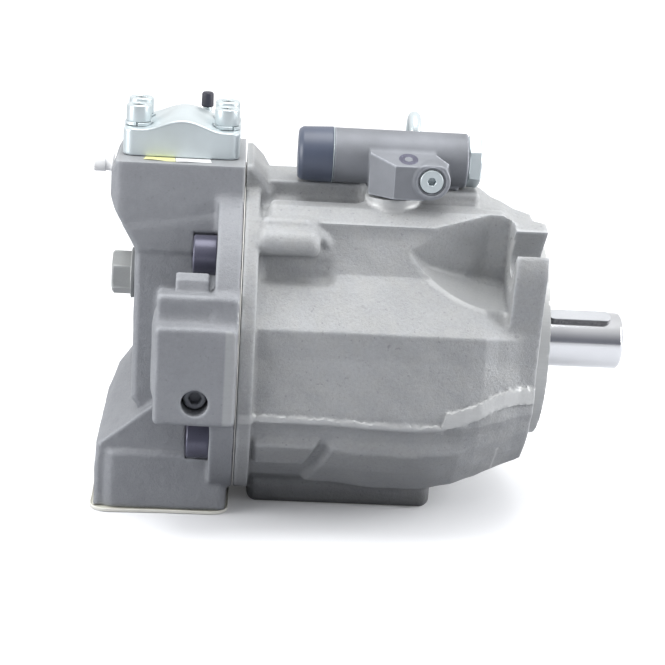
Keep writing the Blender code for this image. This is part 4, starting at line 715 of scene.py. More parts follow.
# the housing's section, as (distance from the shaft's plane, Z), from its top to its bottom
SECTION = [(-60, 124), (0, 124), (34, 117.5), (50, 108.5), (62, 109.5), (75, 104.5), (87, 68.5), (121, 33.5),
           (119.6, 12), (121.5, -30), (120.8, -38), (114, -47), (108, -60), (93, -79), (70, -100), (40, -114),
           (0, -120), (-60, -120)]


def housing_barrel(p):
    """The housing's body: one section drawn along the shaft, larger or smaller from place to place.

    Under the parting line two shallow pads stand out of the belly, with a valley between them.
    """
    x, y, z = p
    r = np.hypot(y, z)
    low = np.interp(x, [-223, -150, -125, -90, -54, -33, -10, 3], [119, 119, 122.5, 123.5, 120, 113, 102, 97]) / 120
    top = np.interp(x, [-223, -185, -90, -42, -32, -24, -13, 2], [121, 122.5, 121.5, 119, 112, 109, 103, 98.5]) / 122
    size = low + (top - low) * (0.5 + 0.5 * z / np.maximum(r, 1))
    sunk = np.degrees(np.arctan2(-z, np.maximum(np.abs(y), 1)))
    slant = -160 - (sunk - 30) * 0.7
    first = plateau(x, -212, slant, 6) * plateau(sunk, 25, 43, 4)
    second = rise(x, slant + 3, slant + 11) * (1 - rise(x, -80, -30)) * plateau(sunk, 25, 60, 6)
    inset = 3.0
    section = polygon_distance(np.abs(y) / size, z / size, inwards(SECTION, inset)) * size - inset
    return section + 1.2 - 4.8 * np.maximum(first, second)


def inwards(outline, inset):
    """An outline moved inwards by an inset, so that the inset's distance from it has rounded corners."""
    rows = np.array(outline, float)
    before, after = rows - np.roll(rows, 1, 0), np.roll(rows, -1, 0) - rows
    before /= np.linalg.norm(before, axis=1, keepdims=True)
    after /= np.linalg.norm(after, axis=1, keepdims=True)
    normal = np.stack([before[:, 1] + after[:, 1], -before[:, 0] - after[:, 0]], 1)
    normal /= 1 + np.sum(before * after, axis=1, keepdims=True)
    return [tuple(row) for row in rows + normal * inset]


def parting_line(x):
    """Z of the line where the mould's halves met: it sinks a little from the rear forwards and then climbs."""
    return -36 - 3 * rise(x, -215, -75) + rise(x, -71, -67) * (8 + 15 * rise(x, -69, -16))


def housing_masses(p):
    """Distance to the barrel with what is cast onto it: the shelves, the cylinders, the foot and the bosses."""
    fillet = bpy.context.scene.pump_sizes.cast_fillet
    x, y, z = p
    body = both(housing_barrel(p) + waviness(p, 11, 0.16), between(x, -221, 4), 3)
    shelf = box_field(p, (-118, -66, 60), (-22, -20, 108.4), 4)
    ridge = prism_field(p, 0, [(-50, 102), (-55, 115), (-65, 113.5), (-77, 104), (-73, 92)], -205, -27, 4.5)
    top_cylinder = drum_field(p, 0, (0, 97), 31, -216, -112, 8)
    foot = box_field(p, (-212, -38, FOOT_BOTTOM), (-66, 38, -94), 8)
    rear_shelf = box_field(p, (-206, -38, 90), (-132.5, 8, 126.3), 2)
    valve_pad = np.maximum(box_field(p, (-150, -51, 90), (-47, -12, 126.3), 3.5), -132.5 - x)
    crescent = drum_field(p, 2, CRESCENT_PLACE, 20.5, 88, 121.5, 1.2)
    eye_boss = drum_field(p, 2, EYE_CENTRE[:2], 13, 88, 119, 1.5)
    near_boss = drum_field(p, 0, (-84, 90), 10.5, -214, -167, 6.5)
    drop = 12 * rise(x, -178, -157)
    ledge = drum_field((x, y, z + drop), 0, (-76, 101), 5.5, -211, -158, 5)
    for mass, radius in ((shelf, 7), (ridge, 5), (top_cylinder, fillet), (foot, fillet), (rear_shelf, 4),
                         (valve_pad, 9), (crescent, 3), (eye_boss, 5), (weld(near_boss, ledge, 4), 3.5)):
        body = weld(body, mass, radius)
    hollow = box_field(p, (-211, -130, 60), (-155, -82, 79.5), 7)
    return carve(body, hollow, 4)


def with_parting_bead(body, p):
    """A body with the ragged bead along its parting line, broader beside the flange."""
    x, y, z = p
    ragged = 0.6 * np.sin(0.31 * x) + 0.5 * np.sin(0.83 * x + 1) + 0.3 * np.sin(1.7 * x)
    broad = rise(x, -71, -67)
    tall = 2.8 + 3.6 * broad + 0.4 * ragged
    off_line = np.abs(z - (parting_line(x) + 0.5 * ragged)) - tall
    bead = meet(body - bpy.context.scene.pump_sizes.bead_height - 0.5 * broad, off_line, 1.2)
    bead = meet(bead, between(x, -222, 2), 2)
    bead = meet(bead, 40 - np.abs(y), 3)
    return weld(body, bead, 1.6)


def with_bolt_pockets(body, p):
    """A body with both ears' open slots, their screw seats and the tapering pockets behind them."""
    s = bpy.context.scene.pump_sizes
    x, y, z = p
    for side in (1, -1):
        ceiling = 0.93 * (side * y + 50) + 0.193 * (side * z - 66) - 0.314 * (np.minimum(x, -40) + 25)
        pocket = meet((pocket_tail(p, side) - 1) * s.pocket_radius, x + s.flange_thickness, 2.0)
        body = carve(body, meet(pocket, ceiling, 2.0), 0.5)
        cy = side * BOLT_CIRCLE_RADIUS * math.cos(NEAR_EAR_ANGLE)
        cz = side * BOLT_CIRCLE_RADIUS * math.sin(NEAR_EAR_ANGLE)
        along = (y * cy + z * cz) / BOLT_CIRCLE_RADIUS - BOLT_CIRCLE_RADIUS
        aside = np.abs(y * cz - z * cy) / BOLT_CIRCLE_RADIUS
        slot = np.where(along > 0, aside, np.hypot(along, aside)) - s.slot_width / 2
        body = carve(body, both(slot, between(x, -40, 20), 0.1), 0.8)
        body = carve(body, drum_field(p, 0, (cy, cz), 20, -26.5, -22.8, 0.2), 0.5)
    return body


def with_pilot(body, p):
    """A body with the centring pilot, the groove round its foot, and the bores for the seal and the shaft."""
    radius = bpy.context.scene.pump_sizes.pilot_radius
    x, y, z = p
    pilot = drum_field(p, 0, (0, 0), radius, -10, PILOT_FRONT, 1.2)
    groove = both(np.abs(np.hypot(y, z) - radius - 1.6) - 1.6, between(x, -1.2, 3), 0.2)
    body = weld(carve(body, groove, 0.4), pilot, 0.5)
    body = carve(body, drum_field(p, 0, (0, 0), 31, -17, 30, 0.2), 0.8)
    return carve(body, drum_field(p, 0, (0, 0), 28, -27, 30, 0.2), 0.5)


def housing_field(p):
    """Distance to the main casting, from its masses, its fillets and then its machined faces and bores."""
    x, y, z = p
    body = with_parting_bead(housing_masses(p), p)
    rim = both(np.hypot(y, z) - RIM_RADIUS, between(x, HOUSING_REAR, -212), 1.8)
    body = weld(body, rim, 4)
    flange = both(flange_plan(y, z, 94, 31), between(x, -bpy.context.scene.pump_sizes.flange_thickness, 0), 1.6)
    body = meet(weld(body, flange, 7), x, 0.6)
    body = with_pilot(with_bolt_pockets(body, p), p)
    body = meet(body, between(z, FOOT_BOTTOM, 128.4), 1.0)
    hump = [(-235, 90), (-235, 138), (-218.5, 138), (-210, 129.5), (-203, 118), (-203, 90)]
    body = weld(body, prism_field(p, 1, hump, -44, 44, 5), 4)
    return meet(body, between(x, HOUSING_REAR, PILOT_FRONT), 0.6)


def pocket_tail(p, side):
    """1 on the wall of a bolt pocket, less inside: half of an ellipsoid that runs out towards the rear."""
    x, y, z = p
    up = z - side * (88 - 0.15 * (x + 24))
    round_about = ((y + side * 102) / 1.57) ** 2 + up ** 2
    return np.sqrt((np.minimum(x + 26, 0) / 84) ** 2 + round_about / bpy.context.scene.pump_sizes.pocket_radius ** 2)


def build_housing():
    """The main casting's surface, with its milled faces, the painted light on its crescent and pocket floor, and its
    painted shade marked.
    """
    low, high = corners("pump_housing")
    room_for_hump = np.array([0, 0, 11])
    surface = skin_of(housing_field, low, high + room_for_hump, bpy.context.scene.pump_sizes.casting_step)
    piece = add_piece("housing_casting", surface, "housing", ["pump_housing"], 48)
    x, y, z = points_of(piece).T
    ear_reach = 80.8  # how far out and how far up each slot lies
    front = (x > -0.3) | ((x > -24.8) & (np.hypot(y, z) < 32))
    seats = (np.abs(x + 23.2) < 0.7) & (np.hypot(np.abs(y) - ear_reach, np.abs(z) - ear_reach) < 20.5)
    broad = x > -70
    on_bead = (np.abs(z - parting_line(x)) < 4.2 + 2.8 * broad) & (np.abs(y) > 60) & (x < -2) & (x > -222)
    from_crescent = np.hypot(x - CRESCENT_PLACE[0], y - CRESCENT_PLACE[1])
    crescent = (from_crescent < 21.5) & (z > 109) & (z < 122.5) & (y < -50)
    pocket = (np.abs(pocket_tail((x, y, z), 1) - 1) < 0.06) & (x < -25.5) & (x > -112) & (z < 74) & (y < -60)
    # the crescent under the valve is milled and is also lightened as painted light where it lies in shade; the pocket's
    # lower wall is lightened as painted light
    mark(piece, "milled_and_painted_light", np.maximum.reduce([(front | seats) * 1.0, (0.55 + 0.3 * broad) * on_bead, 0.8 * crescent,
                                             0.4 * pocket]))
    # painted shade: the belly under the parting line and the foot are darkened, and the rear end by the rim a little
    belly = 0.3 * (1 - rise(z, -70, -46)) * (1 - rise(x, -90, -45))
    behind = 0.13 * (1 - rise(x, -213, -206))
    foot = (1 - rise(z, -130, -108)) * (x < -60)
    mark(piece, "painted_shade", np.maximum.reduce([belly, behind, foot]))


def plate_spine(p):
    """Distance to the rear casting's rim, and its spine with the pressure pad on top."""
    x, y, z = p
    rim = both(np.hypot(y, z) - RIM_RADIUS, between(x, -242.6, PLATE_FRONT), 2.0)
    spine = [(-230, 104), (-313, 90), (-304.5, 72), (-304.5, -46), (-299, -54), (-230, -54)]
    pad = [(-215, 150), (-318, 150), (-321, 136), (-324.5, 130), (-324.5, 112), (-320.5, 102), (-312.5, 88), (-302, 72),
           (-215, 72)]
    plan = box_field((x, y, 0 * z), (-324.5, -58, -99), (-190, 52, 99), 13)
    body = prism_field(p, 1, spine, -56.5, 50.5, 5)
    body = weld(body, meet(prism_field(p, 1, pad, -57, 52, 2), plan, 1.5), 5)
    return weld(body, rim, 6)


def plate_lug(p):
    """Distance to the side lug, with the shoulder over it and what joins it to the spine."""
    lug = box_field(p, (-284.5, -132, -40.5), (PLATE_FRONT, -30, 35), bpy.context.scene.pump_sizes.lug_fillet)
    shoulder = box_field(p, (-284.5, -121, -20), (PLATE_FRONT, -100, 56), 4)
    behind = box_field(p, (-284.5, -118, -20), (PLATE_FRONT, -40, 42), 4)
    return weld(weld(lug, shoulder, 9), behind, 5)


def suction_block(p):
    """Distance to the suction block and the hip above it, both with a slanted near corner."""
    x, y, z = p
    block = meet(box_field(p, (-331, -66, -134), (-229, 66, -86), 5), -(x + 320) * 0.9 - (y + 66) * 0.436, 5)
    ends = [(-331, -134), (-331, -104), (-329, -78), (-320.5, -55), (-309, -38), (-302, -27), (-229, -27), (-229, -134)]
    slant = -(x + 316) * 0.61 - (y + 60) * 0.213 + (z + 72) * 0.763
    hip = meet(prism_field(p, 1, ends, -62, 62, 4), slant, 2.0)
    return weld(block, hip, 3)


def port_plate_field(p):
    """Distance to the rear casting: rim, spine with the pressure pad, side lug, suction block, and its seats."""
    x, y, z = p
    body = weld(weld(plate_spine(p), plate_lug(p), 5), suction_block(p), 4)
    body = body + waviness(p, 13, 0.14)
    body = meet(body, between(z, -134, 139), 0.5)
    body = meet(body, between(x, -340, PLATE_FRONT), 0.8)
    body = meet(body, -132 - y, 1.0)
    for number in range(1, 5):
        place = centre_of(f"port_plate_screw_{number}")[1:]
        body = carve(body, drum_field(p, 0, place, 17.5, -261, -242.6, 1), 1.5)
    web = [(-110, 40), (-110, 56), (-107, 64), (-101, 68), (-95, 64), (-90, 50), (-90, 40)]
    body = weld(body, prism_field(p, 0, web, -271.5, -247, 2), 2)
    body = carve(body, drum_field(p, 1, lug_port(), 10, -140, -109, 0.5), 1.2)
    body = carve(body, drum_field(p, 1, lug_port(), 8.6, -120, -100, 0.5), 0.6)
    return carve(body, drum_field(p, 0, centre_of("rear_hex_plug")[1:], 21, -330, -305.8, 0.5), 1.0)


def lug_port():
    """The place (X, Z) of the side lug's port, set a little off the plug in it."""
    x, _, z = centre_of("side_port_plug")
    return x + 1.5, z + 2.5


def build_port_plate():
    """The rear casting's surface, with its milled faces and the filed strip on the lug marked."""
    low, high = corners("port_plate")
    surface = skin_of(port_plate_field, low, high, bpy.context.scene.pump_sizes.casting_step * 0.86)
    piece = add_piece("port_plate_casting", surface, "plate", ["port_plate"], 48)
    x, y, z = points_of(piece).T
    milled_and_painted_light = (z < -133.7) | (x > -224.5)
    strip = (y < -131) & (x > -234)
    mark(piece, "milled_and_painted_light", np.maximum.reduce([milled_and_painted_light * 1.0, strip * 0.4, (z > 138.7) * 0.25]))


# ---------------------------------------------------------------- cover and screws


def cover_field(p):
    """Distance to the port cover: a round-cornered plate under a crown z = a cos^2(pi x / 2w), lower to the edges."""
    s = bpy.context.scene.pump_sizes
    low, high = corners("pressure_port_cover")
    x, y, z = p
    plan = box_field((x, y, 0 * z), (low[0], low[1], -9), (high[0], high[1], 9), 8.5)
    seat = low[2] + 20.3
    across = np.clip((x - (PORT_AXIS_X + 1)) / 32.0, -1, 1)
    crown = np.cos(across * math.pi / 2) ** 2
    share = s.crown_height - 1.8 - (s.crown_height - 9.5) * np.clip(np.abs(y) / 36, 0, 1) ** 1.6
    top = (z - seat - crown * share) * 0.9
    body = both(plan, top, 1.6)
    body = meet(body, low[2] - z, 1.6)
    reach_x, reach_y = PORT_SCREW_REACH
    for sx in (-1, 1):
        for sy in (-1, 1):
            place = (PORT_AXIS_X + sx * reach_x, sy * reach_y)
            body = carve(body, drum_field(p, 2, place, 11.2, seat, seat + 30, 0.3), 1.0)
    return body


def build_cover():
    """The cover on the pressure port and the two film tabs that stick out from under it."""
    low, high = corners("pressure_port_cover")
    room_below = 0.41
    surface = skin_of(cover_field, low - room_below, high, bpy.context.scene.pump_sizes.detail_step)
    add_piece("port_cover", surface, "zinc", ["pressure_port_cover"], 40)
    top = low[2] - 0.25
    add_piece("film_tab_yellow", film_tab([(-299.5, -35.5), (-277.5, -35.5), (-276.5, -50.5), (-300.5, -47.0)], top),
              "yellow_film")
    add_piece("film_tab_white", film_tab([(-277.0, -35.5), (-251.0, -35.5), (-249.5, -48.5), (-276.0, -51.0)], top),
              "white_film")


def film_tab(plan_corners, top):
    """A film tab between four corners (X, Y), which lifts by 0.5 v^2 + 0.25 v sin 6u towards its free edge."""
    u, v = np.meshgrid(np.linspace(0, 1, 13), np.linspace(0, 1, 7), indexing="ij")
    a, b, c, d = [np.array(corner)[None, None, :] for corner in plan_corners]
    u, v = u[..., None], v[..., None]
    plan = (1 - v) * ((1 - u) * a + u * b) + v * ((1 - u) * d + u * c)
    upper = np.concatenate([plan, top + (0.5 * v * v + 0.25 * np.sin(6 * u) * v)], axis=2)
    return sheet(upper, upper - np.array([0, 0, FILM_THICKNESS]))


def sheet(upper, lower):
    """A thin sheet between two grids of points, closed along its edges."""
    rows, columns = upper.shape[:2]
    index = np.arange(rows * columns).reshape(rows, columns)
    face = np.stack([index[:-1, :-1], index[1:, :-1], index[1:, 1:], index[:-1, 1:]], 2).reshape(-1, 4)
    rim = np.concatenate([index[:, 0], index[-1, 1:], index[-2::-1, -1], index[0, -2:0:-1]])
    after = np.roll(rim, -1)
    count = rows * columns
    edge = np.stack([rim, after, after + count, rim + count], 1)
    quads = np.concatenate([face, face[:, ::-1] + count, edge])
    return np.concatenate([upper.reshape(-1, 3), lower.reshape(-1, 3)]), quads


def socket_head(radius, height, socket, depth, shank, length):
    """Rows of a socket head screw from its tip to the bottom of its socket; 0 is the underside of the head."""
    return [
        (-length, 0), (-length, shank * 0.8), (-length + 1.5, shank), (-0.4, shank), (0, shank + 0.4),
        (0, radius - 0.3), (0.5, radius), (height - 1.0, radius), (height, radius - 1.0), (height, socket + 0.9),
        (height - 0.7, socket, 1), (height - depth, socket, 1), (height - depth - 0.8, 0),
    ]


def lock_washer(x, y, base, gap_angle):
    """A split washer round (X, Y) that rises by its set over its one turn, open at an angle in degrees."""
    turn = math.radians(gap_angle) + np.linspace(0.05, 2 * math.pi - 0.05, 60)
    height = base + 1.35 + np.linspace(0, 0.5, 60)
    path = np.stack([x + 8.45 * np.cos(turn), y + 8.45 * np.sin(turn), height], 1)
    section = [(-1.9, -1.2), (-1.7, -1.35), (1.7, -1.35), (1.95, -1.1), (1.95, 0.95), (1.7, 1.2), (-1.7, 1.2),
               (-1.9, 1.0)]
    return swept(path, (0, 0, 1), section, closed=False)


def build_cover_screws():
    """Four bright socket head screws, each on a split lock washer."""
    head_height, washer_height = 12.7, 3.0
    rows = socket_head(9.5, head_height, 5.3, 6.4, 6.35, 40.0)
    for number, gap_angle in enumerate((-95, -62, 110, 70), 1):
        node = f"cover_screw_{number}"
        x, y, _ = centre_of(node)
        top = corners(node)[1][2] + 1.5
        surface = turned(rows, (x, y, top - head_height), (0, 0, 1), 72, 0.5)
        head = add_piece(f"port_screw_{number}", surface, "zinc", [node], 40)
        place = points_of(head)
        # painted shade in the socket, darker towards its bottom
        in_socket = (np.hypot(place[:, 0] - x, place[:, 1] - y) < 5.6) & (place[:, 2] > top - 8)
        mark(head, "painted_shade", 0.9 * in_socket * (1 - rise(place[:, 2], top - 2.0, top - 0.5)))
        washer = lock_washer(x, y, top - head_height - washer_height, gap_angle)
        add_piece(f"lock_washer_{number}", washer, "zinc", [node], 40, capped=True)


def build_plate_screws():
    """The four large black screws that clamp the castings, with their heads to the rear."""
    rows = socket_head(15.0, 17.5, 9.0, 9.0, 9.7, 44.0)
    for number in range(1, 5):
        node = f"port_plate_screw_{number}"
        _, y, z = centre_of(node)
        surface = turned(rows, (corners(node)[0][0] + 20.0, y, z), (-1, 0, 0), 72, 0.8)
        add_piece(f"plate_screw_{number}", surface, "black", [node], 40)


# ---------------------------------------------------------------- plugs, lid and eye


def build_rear_plug():
    """The hexagon plug in the rear face, on its round collar."""
    _, y, z = centre_of("rear_hex_plug")
    face = -306.3
    rows = [(13, 0), (13, 11.5), (12, 12), (-0.2, 12), (-0.2, 19.5), (-2.6, 20), (-3.2, 19.4), (-3.2, 17.5, 1),
            (-16.6, 17.5, 1), (-18, 15.6, 0.6), (-18, 8), (-17.4, 7), (-17.4, 0)]
    surface = turned(rows, (face, y, z), (1, 0, 0), 72, 0.4, math.pi / 6)
    add_piece("rear_plug", surface, "plug", ["rear_hex_plug"], 30)


def build_white_plug():
    """The white plug that stands out to the rear, waisted between its collar and its round head."""
    _, y, z = centre_of("far_side_plug")
    seat = corners("far_side_plug")[0][0] + 16
    rows = [(10, 0), (10, 3), (9, 3.65), (0, 3.65), (0, 7.3), (-1.6, 7.3), (-1.9, 6.6), (-6, 6.2), (-6.4, 7.1),
            (-14.6, 7.0), (-16, 6.0), (-16, 4.2), (-15.2, 3.8), (-15.2, 0)]
    surface = turned(rows, (seat, y, z), (1, 0, 0), 48, 0.4)
    add_piece("white_plug", surface, "white_plastic", ["far_side_plug"], 40)


def build_gauge_cap():
    """The bright nipple behind the cover and the black cap on it."""
    x, y, _ = centre_of("gauge_port_cap")
    base = corners("gauge_port_cap")[1][2] - 37
    nipple = [(-9, 0), (-9, 3), (-8.5, 3.4), (0, 3.4), (0, 6.4), (7, 6.4), (8, 5.6), (8, 3.6), (20, 3.4), (25.4, 3.4),
              (25.4, 0)]
    cap = [(25.5, 0), (25.5, 4.3), (26.2, 4.8), (35.6, 4.6), (37, 3.8), (37, 2.2), (36.2, 1.8), (36.2, 0)]
    for name, rows, finish, slot in (("gauge_nipple", nipple, "zinc", "zinc"),
                                     ("black_cap", cap, "black_plastic", "black_plastic")):
        add_piece(name, turned(rows, (x, y, base), (0, 0, 1), 48, 0.5), finish, ["gauge_port_cap"], 40)


def build_side_plug():
    """The socket plug deep in the side lug's port."""
    x, z = lug_port()
    rows = [(0, 0), (0, 8), (0.6, 8.5), (10.5, 8.5), (11.5, 7.6), (11.5, 5.2), (10.8, 4.8, 1), (4.5, 4.8, 1), (3.6, 0)]
    surface = turned(rows, (x, corners("side_port_plug")[1][1], z), (0, -1, 0), 60, 0.4)
    add_piece("side_plug", surface, "valve", ["side_port_plug"], 30)


def build_plugs():
    """The port plate's plugs and caps."""
    build_rear_plug()
    build_white_plug()
    build_gauge_cap()
    build_side_plug()


def rounded_plan(angle, half_x, half_y, corner):
    """Points at angles round a rectangle with round corners."""
    c, s = np.cos(angle), np.sin(angle)
    scale = 1 / np.maximum(np.abs(c) / half_x, np.abs(s) / half_y)
    px, py = c * scale, s * scale
    ix, iy = np.clip(px, -(half_x - corner), half_x - corner), np.clip(py, -(half_y - corner), half_y - corner)
    away = np.maximum(np.hypot(px - ix, py - iy), 1e-6)
    at_corner = (np.abs(px) > half_x - corner) & (np.abs(py) > half_y - corner)
    return (np.where(at_corner, ix + (px - ix) * corner / away, px),
            np.where(at_corner, iy + (py - iy) * corner / away, py))


def build_lid():
    """The thin lid under the suction block: a round-cornered plate with a lip turned up round its edge."""
    low, high = corners("suction_port_lid")
    half_x, half_y = (high[0] - low[0]) / 2, (high[1] - low[1]) / 2
    cx, cy, _ = centre_of("suction_port_lid")
    thickness = 1.9
    angle = np.linspace(0, 2 * np.pi, 160, endpoint=False)
    px, py = rounded_plan(angle, half_x, half_y, 14.0)
    rows = [(0.0, 0.0), (0.9, 0.0), (0.985, 0.1), (1.0, 0.7), (1.0, 2.6), (0.994, 3.0), (0.985, 2.6),
            (0.98, thickness), (0.9, thickness), (0.0, thickness)]
    shrink, up = np.array(rows).T
    flow = 1 + 6.5 * plateau(angle[None, :], 2.6, 3.7, 0.5)
    lift = np.where(up[:, None] > 2.2, thickness + (up[:, None] - thickness) * flow, up[:, None] + 0 * flow)
    py = py + np.where(angle < np.pi, 0.0, 1.9) * rise(px, -half_x + 10, -half_x + 60)
    points = np.stack([cx + shrink[:, None] * px, cy + shrink[:, None] * py, low[2] + lift], 2)
    surface = wrapped(points.reshape(-1, 3), len(rows), len(angle))
    add_piece("suction_lid", surface, "lid", ["suction_port_lid"], 40)


def eye_field(p):
    """Distance to the lifting eye: a ring of round section on a waisted stem with a collar."""
    x, y, z = [v - c for v, c in zip(p, EYE_CENTRE)]
    ring = np.hypot(np.hypot(y, z) - 15.5, x * 0.95) - 4.5
    stem = drum_field((x, y, z), 2, (0, 0), 6.5, -31, -14, 1)
    collar = drum_field((x, y, z), 2, (0, 0), 11, -31.7, -27.5, 1)
    shank = drum_field((x, y, z), 2, (0, 0), 5.9, -51, -30, 1)
    return weld(weld(weld(ring, stem, 5), collar, 3), shank, 1)


def build_eye():
    """The lifting eye behind the valve."""
    low, high = corners("lifting_eye")
    surface = skin_of(eye_field, low, high, bpy.context.scene.pump_sizes.detail_step)
    add_piece("lifting_ring", surface, "zinc", ["lifting_eye"], 40)


# ---------------------------------------------------------------- control valve


def facet_distance(y, z):
    """Distance above the plane of the valve's sloped facet."""
    size = math.hypot(FACET_SLOPE[1], FACET_SLOPE[2])
    return ((y - FACET_EDGE[0]) * FACET_SLOPE[1] + (z - FACET_EDGE[1]) * FACET_SLOPE[2]) / size


def valve_field(p):
    """Distance to the valve body: a barrel, its foot, and the front block with its sloped facet and plug boss."""
    x, y, z = p
    cy, cz = VALVE_CENTRE
    block_floor = 123.2
    barrel = drum_field(p, 0, (cy, cz), 20.5, -159, -58, 1.2)
    foot = box_field(p, (-126, cy - 11, 126.4), (-63, cy + 11, cz), 2)
    plan = [(-132, -30), (-132, -57), (-114, -71.6), (-76, -71.6), (-74, -66), (-84, -54), (-84, -30)]
    block = meet(prism_field(p, 2, plan, 118, 165, 1.2), facet_distance(y, z), 0.8)
    block = meet(block, block_floor - z, 1.0)
    block = meet(block, (x + 93) * 0.66 - (z - 121.5) * 0.75, 1.0)
    boss = meet(drum_field(p, 1, SIDE_SCREW_PLACE, 14, -72.4, -40, 1.4), facet_distance(y, z) - 1.5, 1)
    body = weld(barrel, weld(block, boss, 1.5), 2.0)
    body = weld(body, foot, 2)
    body = carve(body, drum_field(p, 1, SIDE_SCREW_PLACE, 10.6, -80, -71.2, 0.2), 0.4)
    body = carve(body, drum_field(p, 1, SIDE_SCREW_PLACE, 9.3, -80, -60, 0.3), 0.4)
    body = carve(body, drum_field(p, 0, (cy, cz), 6.3, -165, -70, 0.3), 0.4)
    body = carve(body, drum_field(p, 0, (cy, cz), 12.8, -70.3, -50, 0.3), 0.4)
    return np.maximum(body, np.where(y < -57, block_floor, 126.3) - z)


def build_valve_cap():
    """The valve's dark spring cap and the bright ring between it and the body."""
    cy, cz = VALVE_CENTRE
    cap = [(-4.4, 16), (-4.4, 20.6), (-5.0, 21), (-27.2, 20.2), (-29.8, 18.2), (-30.3, 16.5), (-30.3, 6), (-29.6, 5.2),
           (-29.6, 0.01), (-25.3, 0.01), (-25.3, 16)]
    ring = [(0.1, 18.6), (0.1, 21.1), (-0.25, 21.3), (-0.3, 21.3), (-0.3, 18.6)]
    add_piece("valve_spring_cap", turned(cap, (-155, cy, cz), (1, 0, 0), 84, 0.9), "cap",
              ["valve_cap"], 35)
    add_piece("valve_cap_ring", turned(ring, (-159.1, cy, cz), (1, 0, 0), 84, 0.1), "zinc", (), 35)


def build_valve_plugs():
    """The side screw, the hexagon plug at the valve's end, and the small flush plug in its facet."""
    rows = [(-12, 0), (-12, 8.2), (-11.4, 8.9), (-0.4, 8.9), (0.4, 8.2), (0.5, 3.5), (0, 3.2, 1), (-5.5, 3.2, 1),
            (-6.5, 0)]
    x, z = SIDE_SCREW_PLACE
    add_piece("side_screw_plug", turned(rows, (x, -72, z), (0, -1, 0), 60, 0.5), "zinc",
              ["valve_side_plug"], 35)
    rows = [(-12, 0), (-12, 11.8), (-11.3, 12.4), (0.2, 12.4), (0.2, 18), (1.2, 18.4), (1.4, 19.8, 1), (9.2, 20.5, 1),
            (10.3, 18.6, 0.5), (10.3, 9), (9.7, 8), (9.7, 0)]
    surface = turned(rows, (-58, *VALVE_CENTRE), (1, 0, 0), 72, 0.4, math.pi / 6)
    add_piece("end_hex_plug", surface, "zinc", ["valve_end_plug"], 30)
    y = -62.5
    z = FACET_EDGE[1] - (y - FACET_EDGE[0]) * FACET_SLOPE[1] / FACET_SLOPE[2]
    rows = [(-3, 0), (-3, 7.2), (0.15, 7.2), (0.2, 6.6), (0.2, 6.0), (0.1, 5.6), (0.1, 5.2), (0.2, 4.9), (0.2, 3.4),
            (-0.1, 3.0, 1), (-2, 2.8, 1), (-2.2, 0)]
    add_piece("facet_plug", turned(rows, (-104.0, y, z), FACET_SLOPE, 54, 0.2), "black", (), 30)


def build_valve():
    """The control valve: body, cap and plugs."""
    low, high = corners("valve_body")
    room_below = 5
    surface = skin_of(valve_field, low - room_below, high, bpy.context.scene.pump_sizes.detail_step * 1.1)
    add_piece("valve_casting", surface, "valve", ["valve_body"], 35)
    build_valve_cap()
    build_valve_plugs()


# ---------------------------------------------------------------- shaft


def above_shaft(y, z):
    """Height over the shaft's axis, measured in the direction of the key."""
    return z * math.cos(KEY_ANGLE) - y * math.sin(KEY_ANGLE)


def key_field(p):
    """Distance to the feather key: a stadium plan along X, set in the shaft at its own angle."""
    x, y, z = p
    aside = y * math.cos(KEY_ANGLE) + z * math.sin(KEY_ANGLE)
    along = np.maximum(np.abs(x - 45) - 19.45, 0)
    return both(np.hypot(along, aside) - 5.55, between(above_shaft(y, z), 17.2, 26.6), 0.5)


def build_shaft():
    """The drive shaft, from its keyed end over the seal's seat and the collar to its rear journal, and the key."""
    rows = [(74.5, 0), (76.4, 3.4), (80, 8.4), (80, 20), (78, 22.2), (6, 22.2), (5.4, 22.6), (-20, 22.6), (-20, 25),
            (-48.6, 25), (-48.6, 28), (-56.6, 28), (-56.6, 20), (-227, 20), (-227, 15), (-260.5, 15), (-262, 13.5),
            (-262, 0)]
    surface = turned(rows, (0, 0, 0), (1, 0, 0), 120, 0.5)
    add_piece("shaft", surface, "polished", ["drive_shaft"], 35, "shaft")
    low, high = corners("shaft_key")
    surface = skin_of(key_field, low, high, bpy.context.scene.pump_sizes.detail_step * 0.6)
    piece = add_piece("feather_key", surface, "key", ["shaft_key"], 40, "shaft")
    _, y, z = points_of(piece).T
    mark(piece, "milled_and_painted_light", rise(above_shaft(y, z), 26.0, 26.5))


KEPT_FINISHES = {
    "housing_gasket": "gasket", "shaft_seal": "rubber", "seal_retaining_ring": "spring", "return_spring": "spring",
    "valve_spring": "spring", "valve_plate": "bronze", "cradle_bearing": "bronze", "slipper": "bronze",
    "piston": "polished", "control_piston": "polished", "return_piston": "polished", "valve_spool": "polished",
}


def dress_kept_nodes():
    """Gives each CAD node that stays its finish: bronze, ground steel, rubber, or gasket."""
    for name, node in frame["nodes"].items():
        if node.hide_render:
            continue
        finish = "bearing"
        for start, found in KEPT_FINISHES.items():
            if name.startswith(start):
                finish = found
        node.data.materials.clear()
        node.data.materials.append(MATERIALS[finish])


# ---------------------------------------------------------------- stage


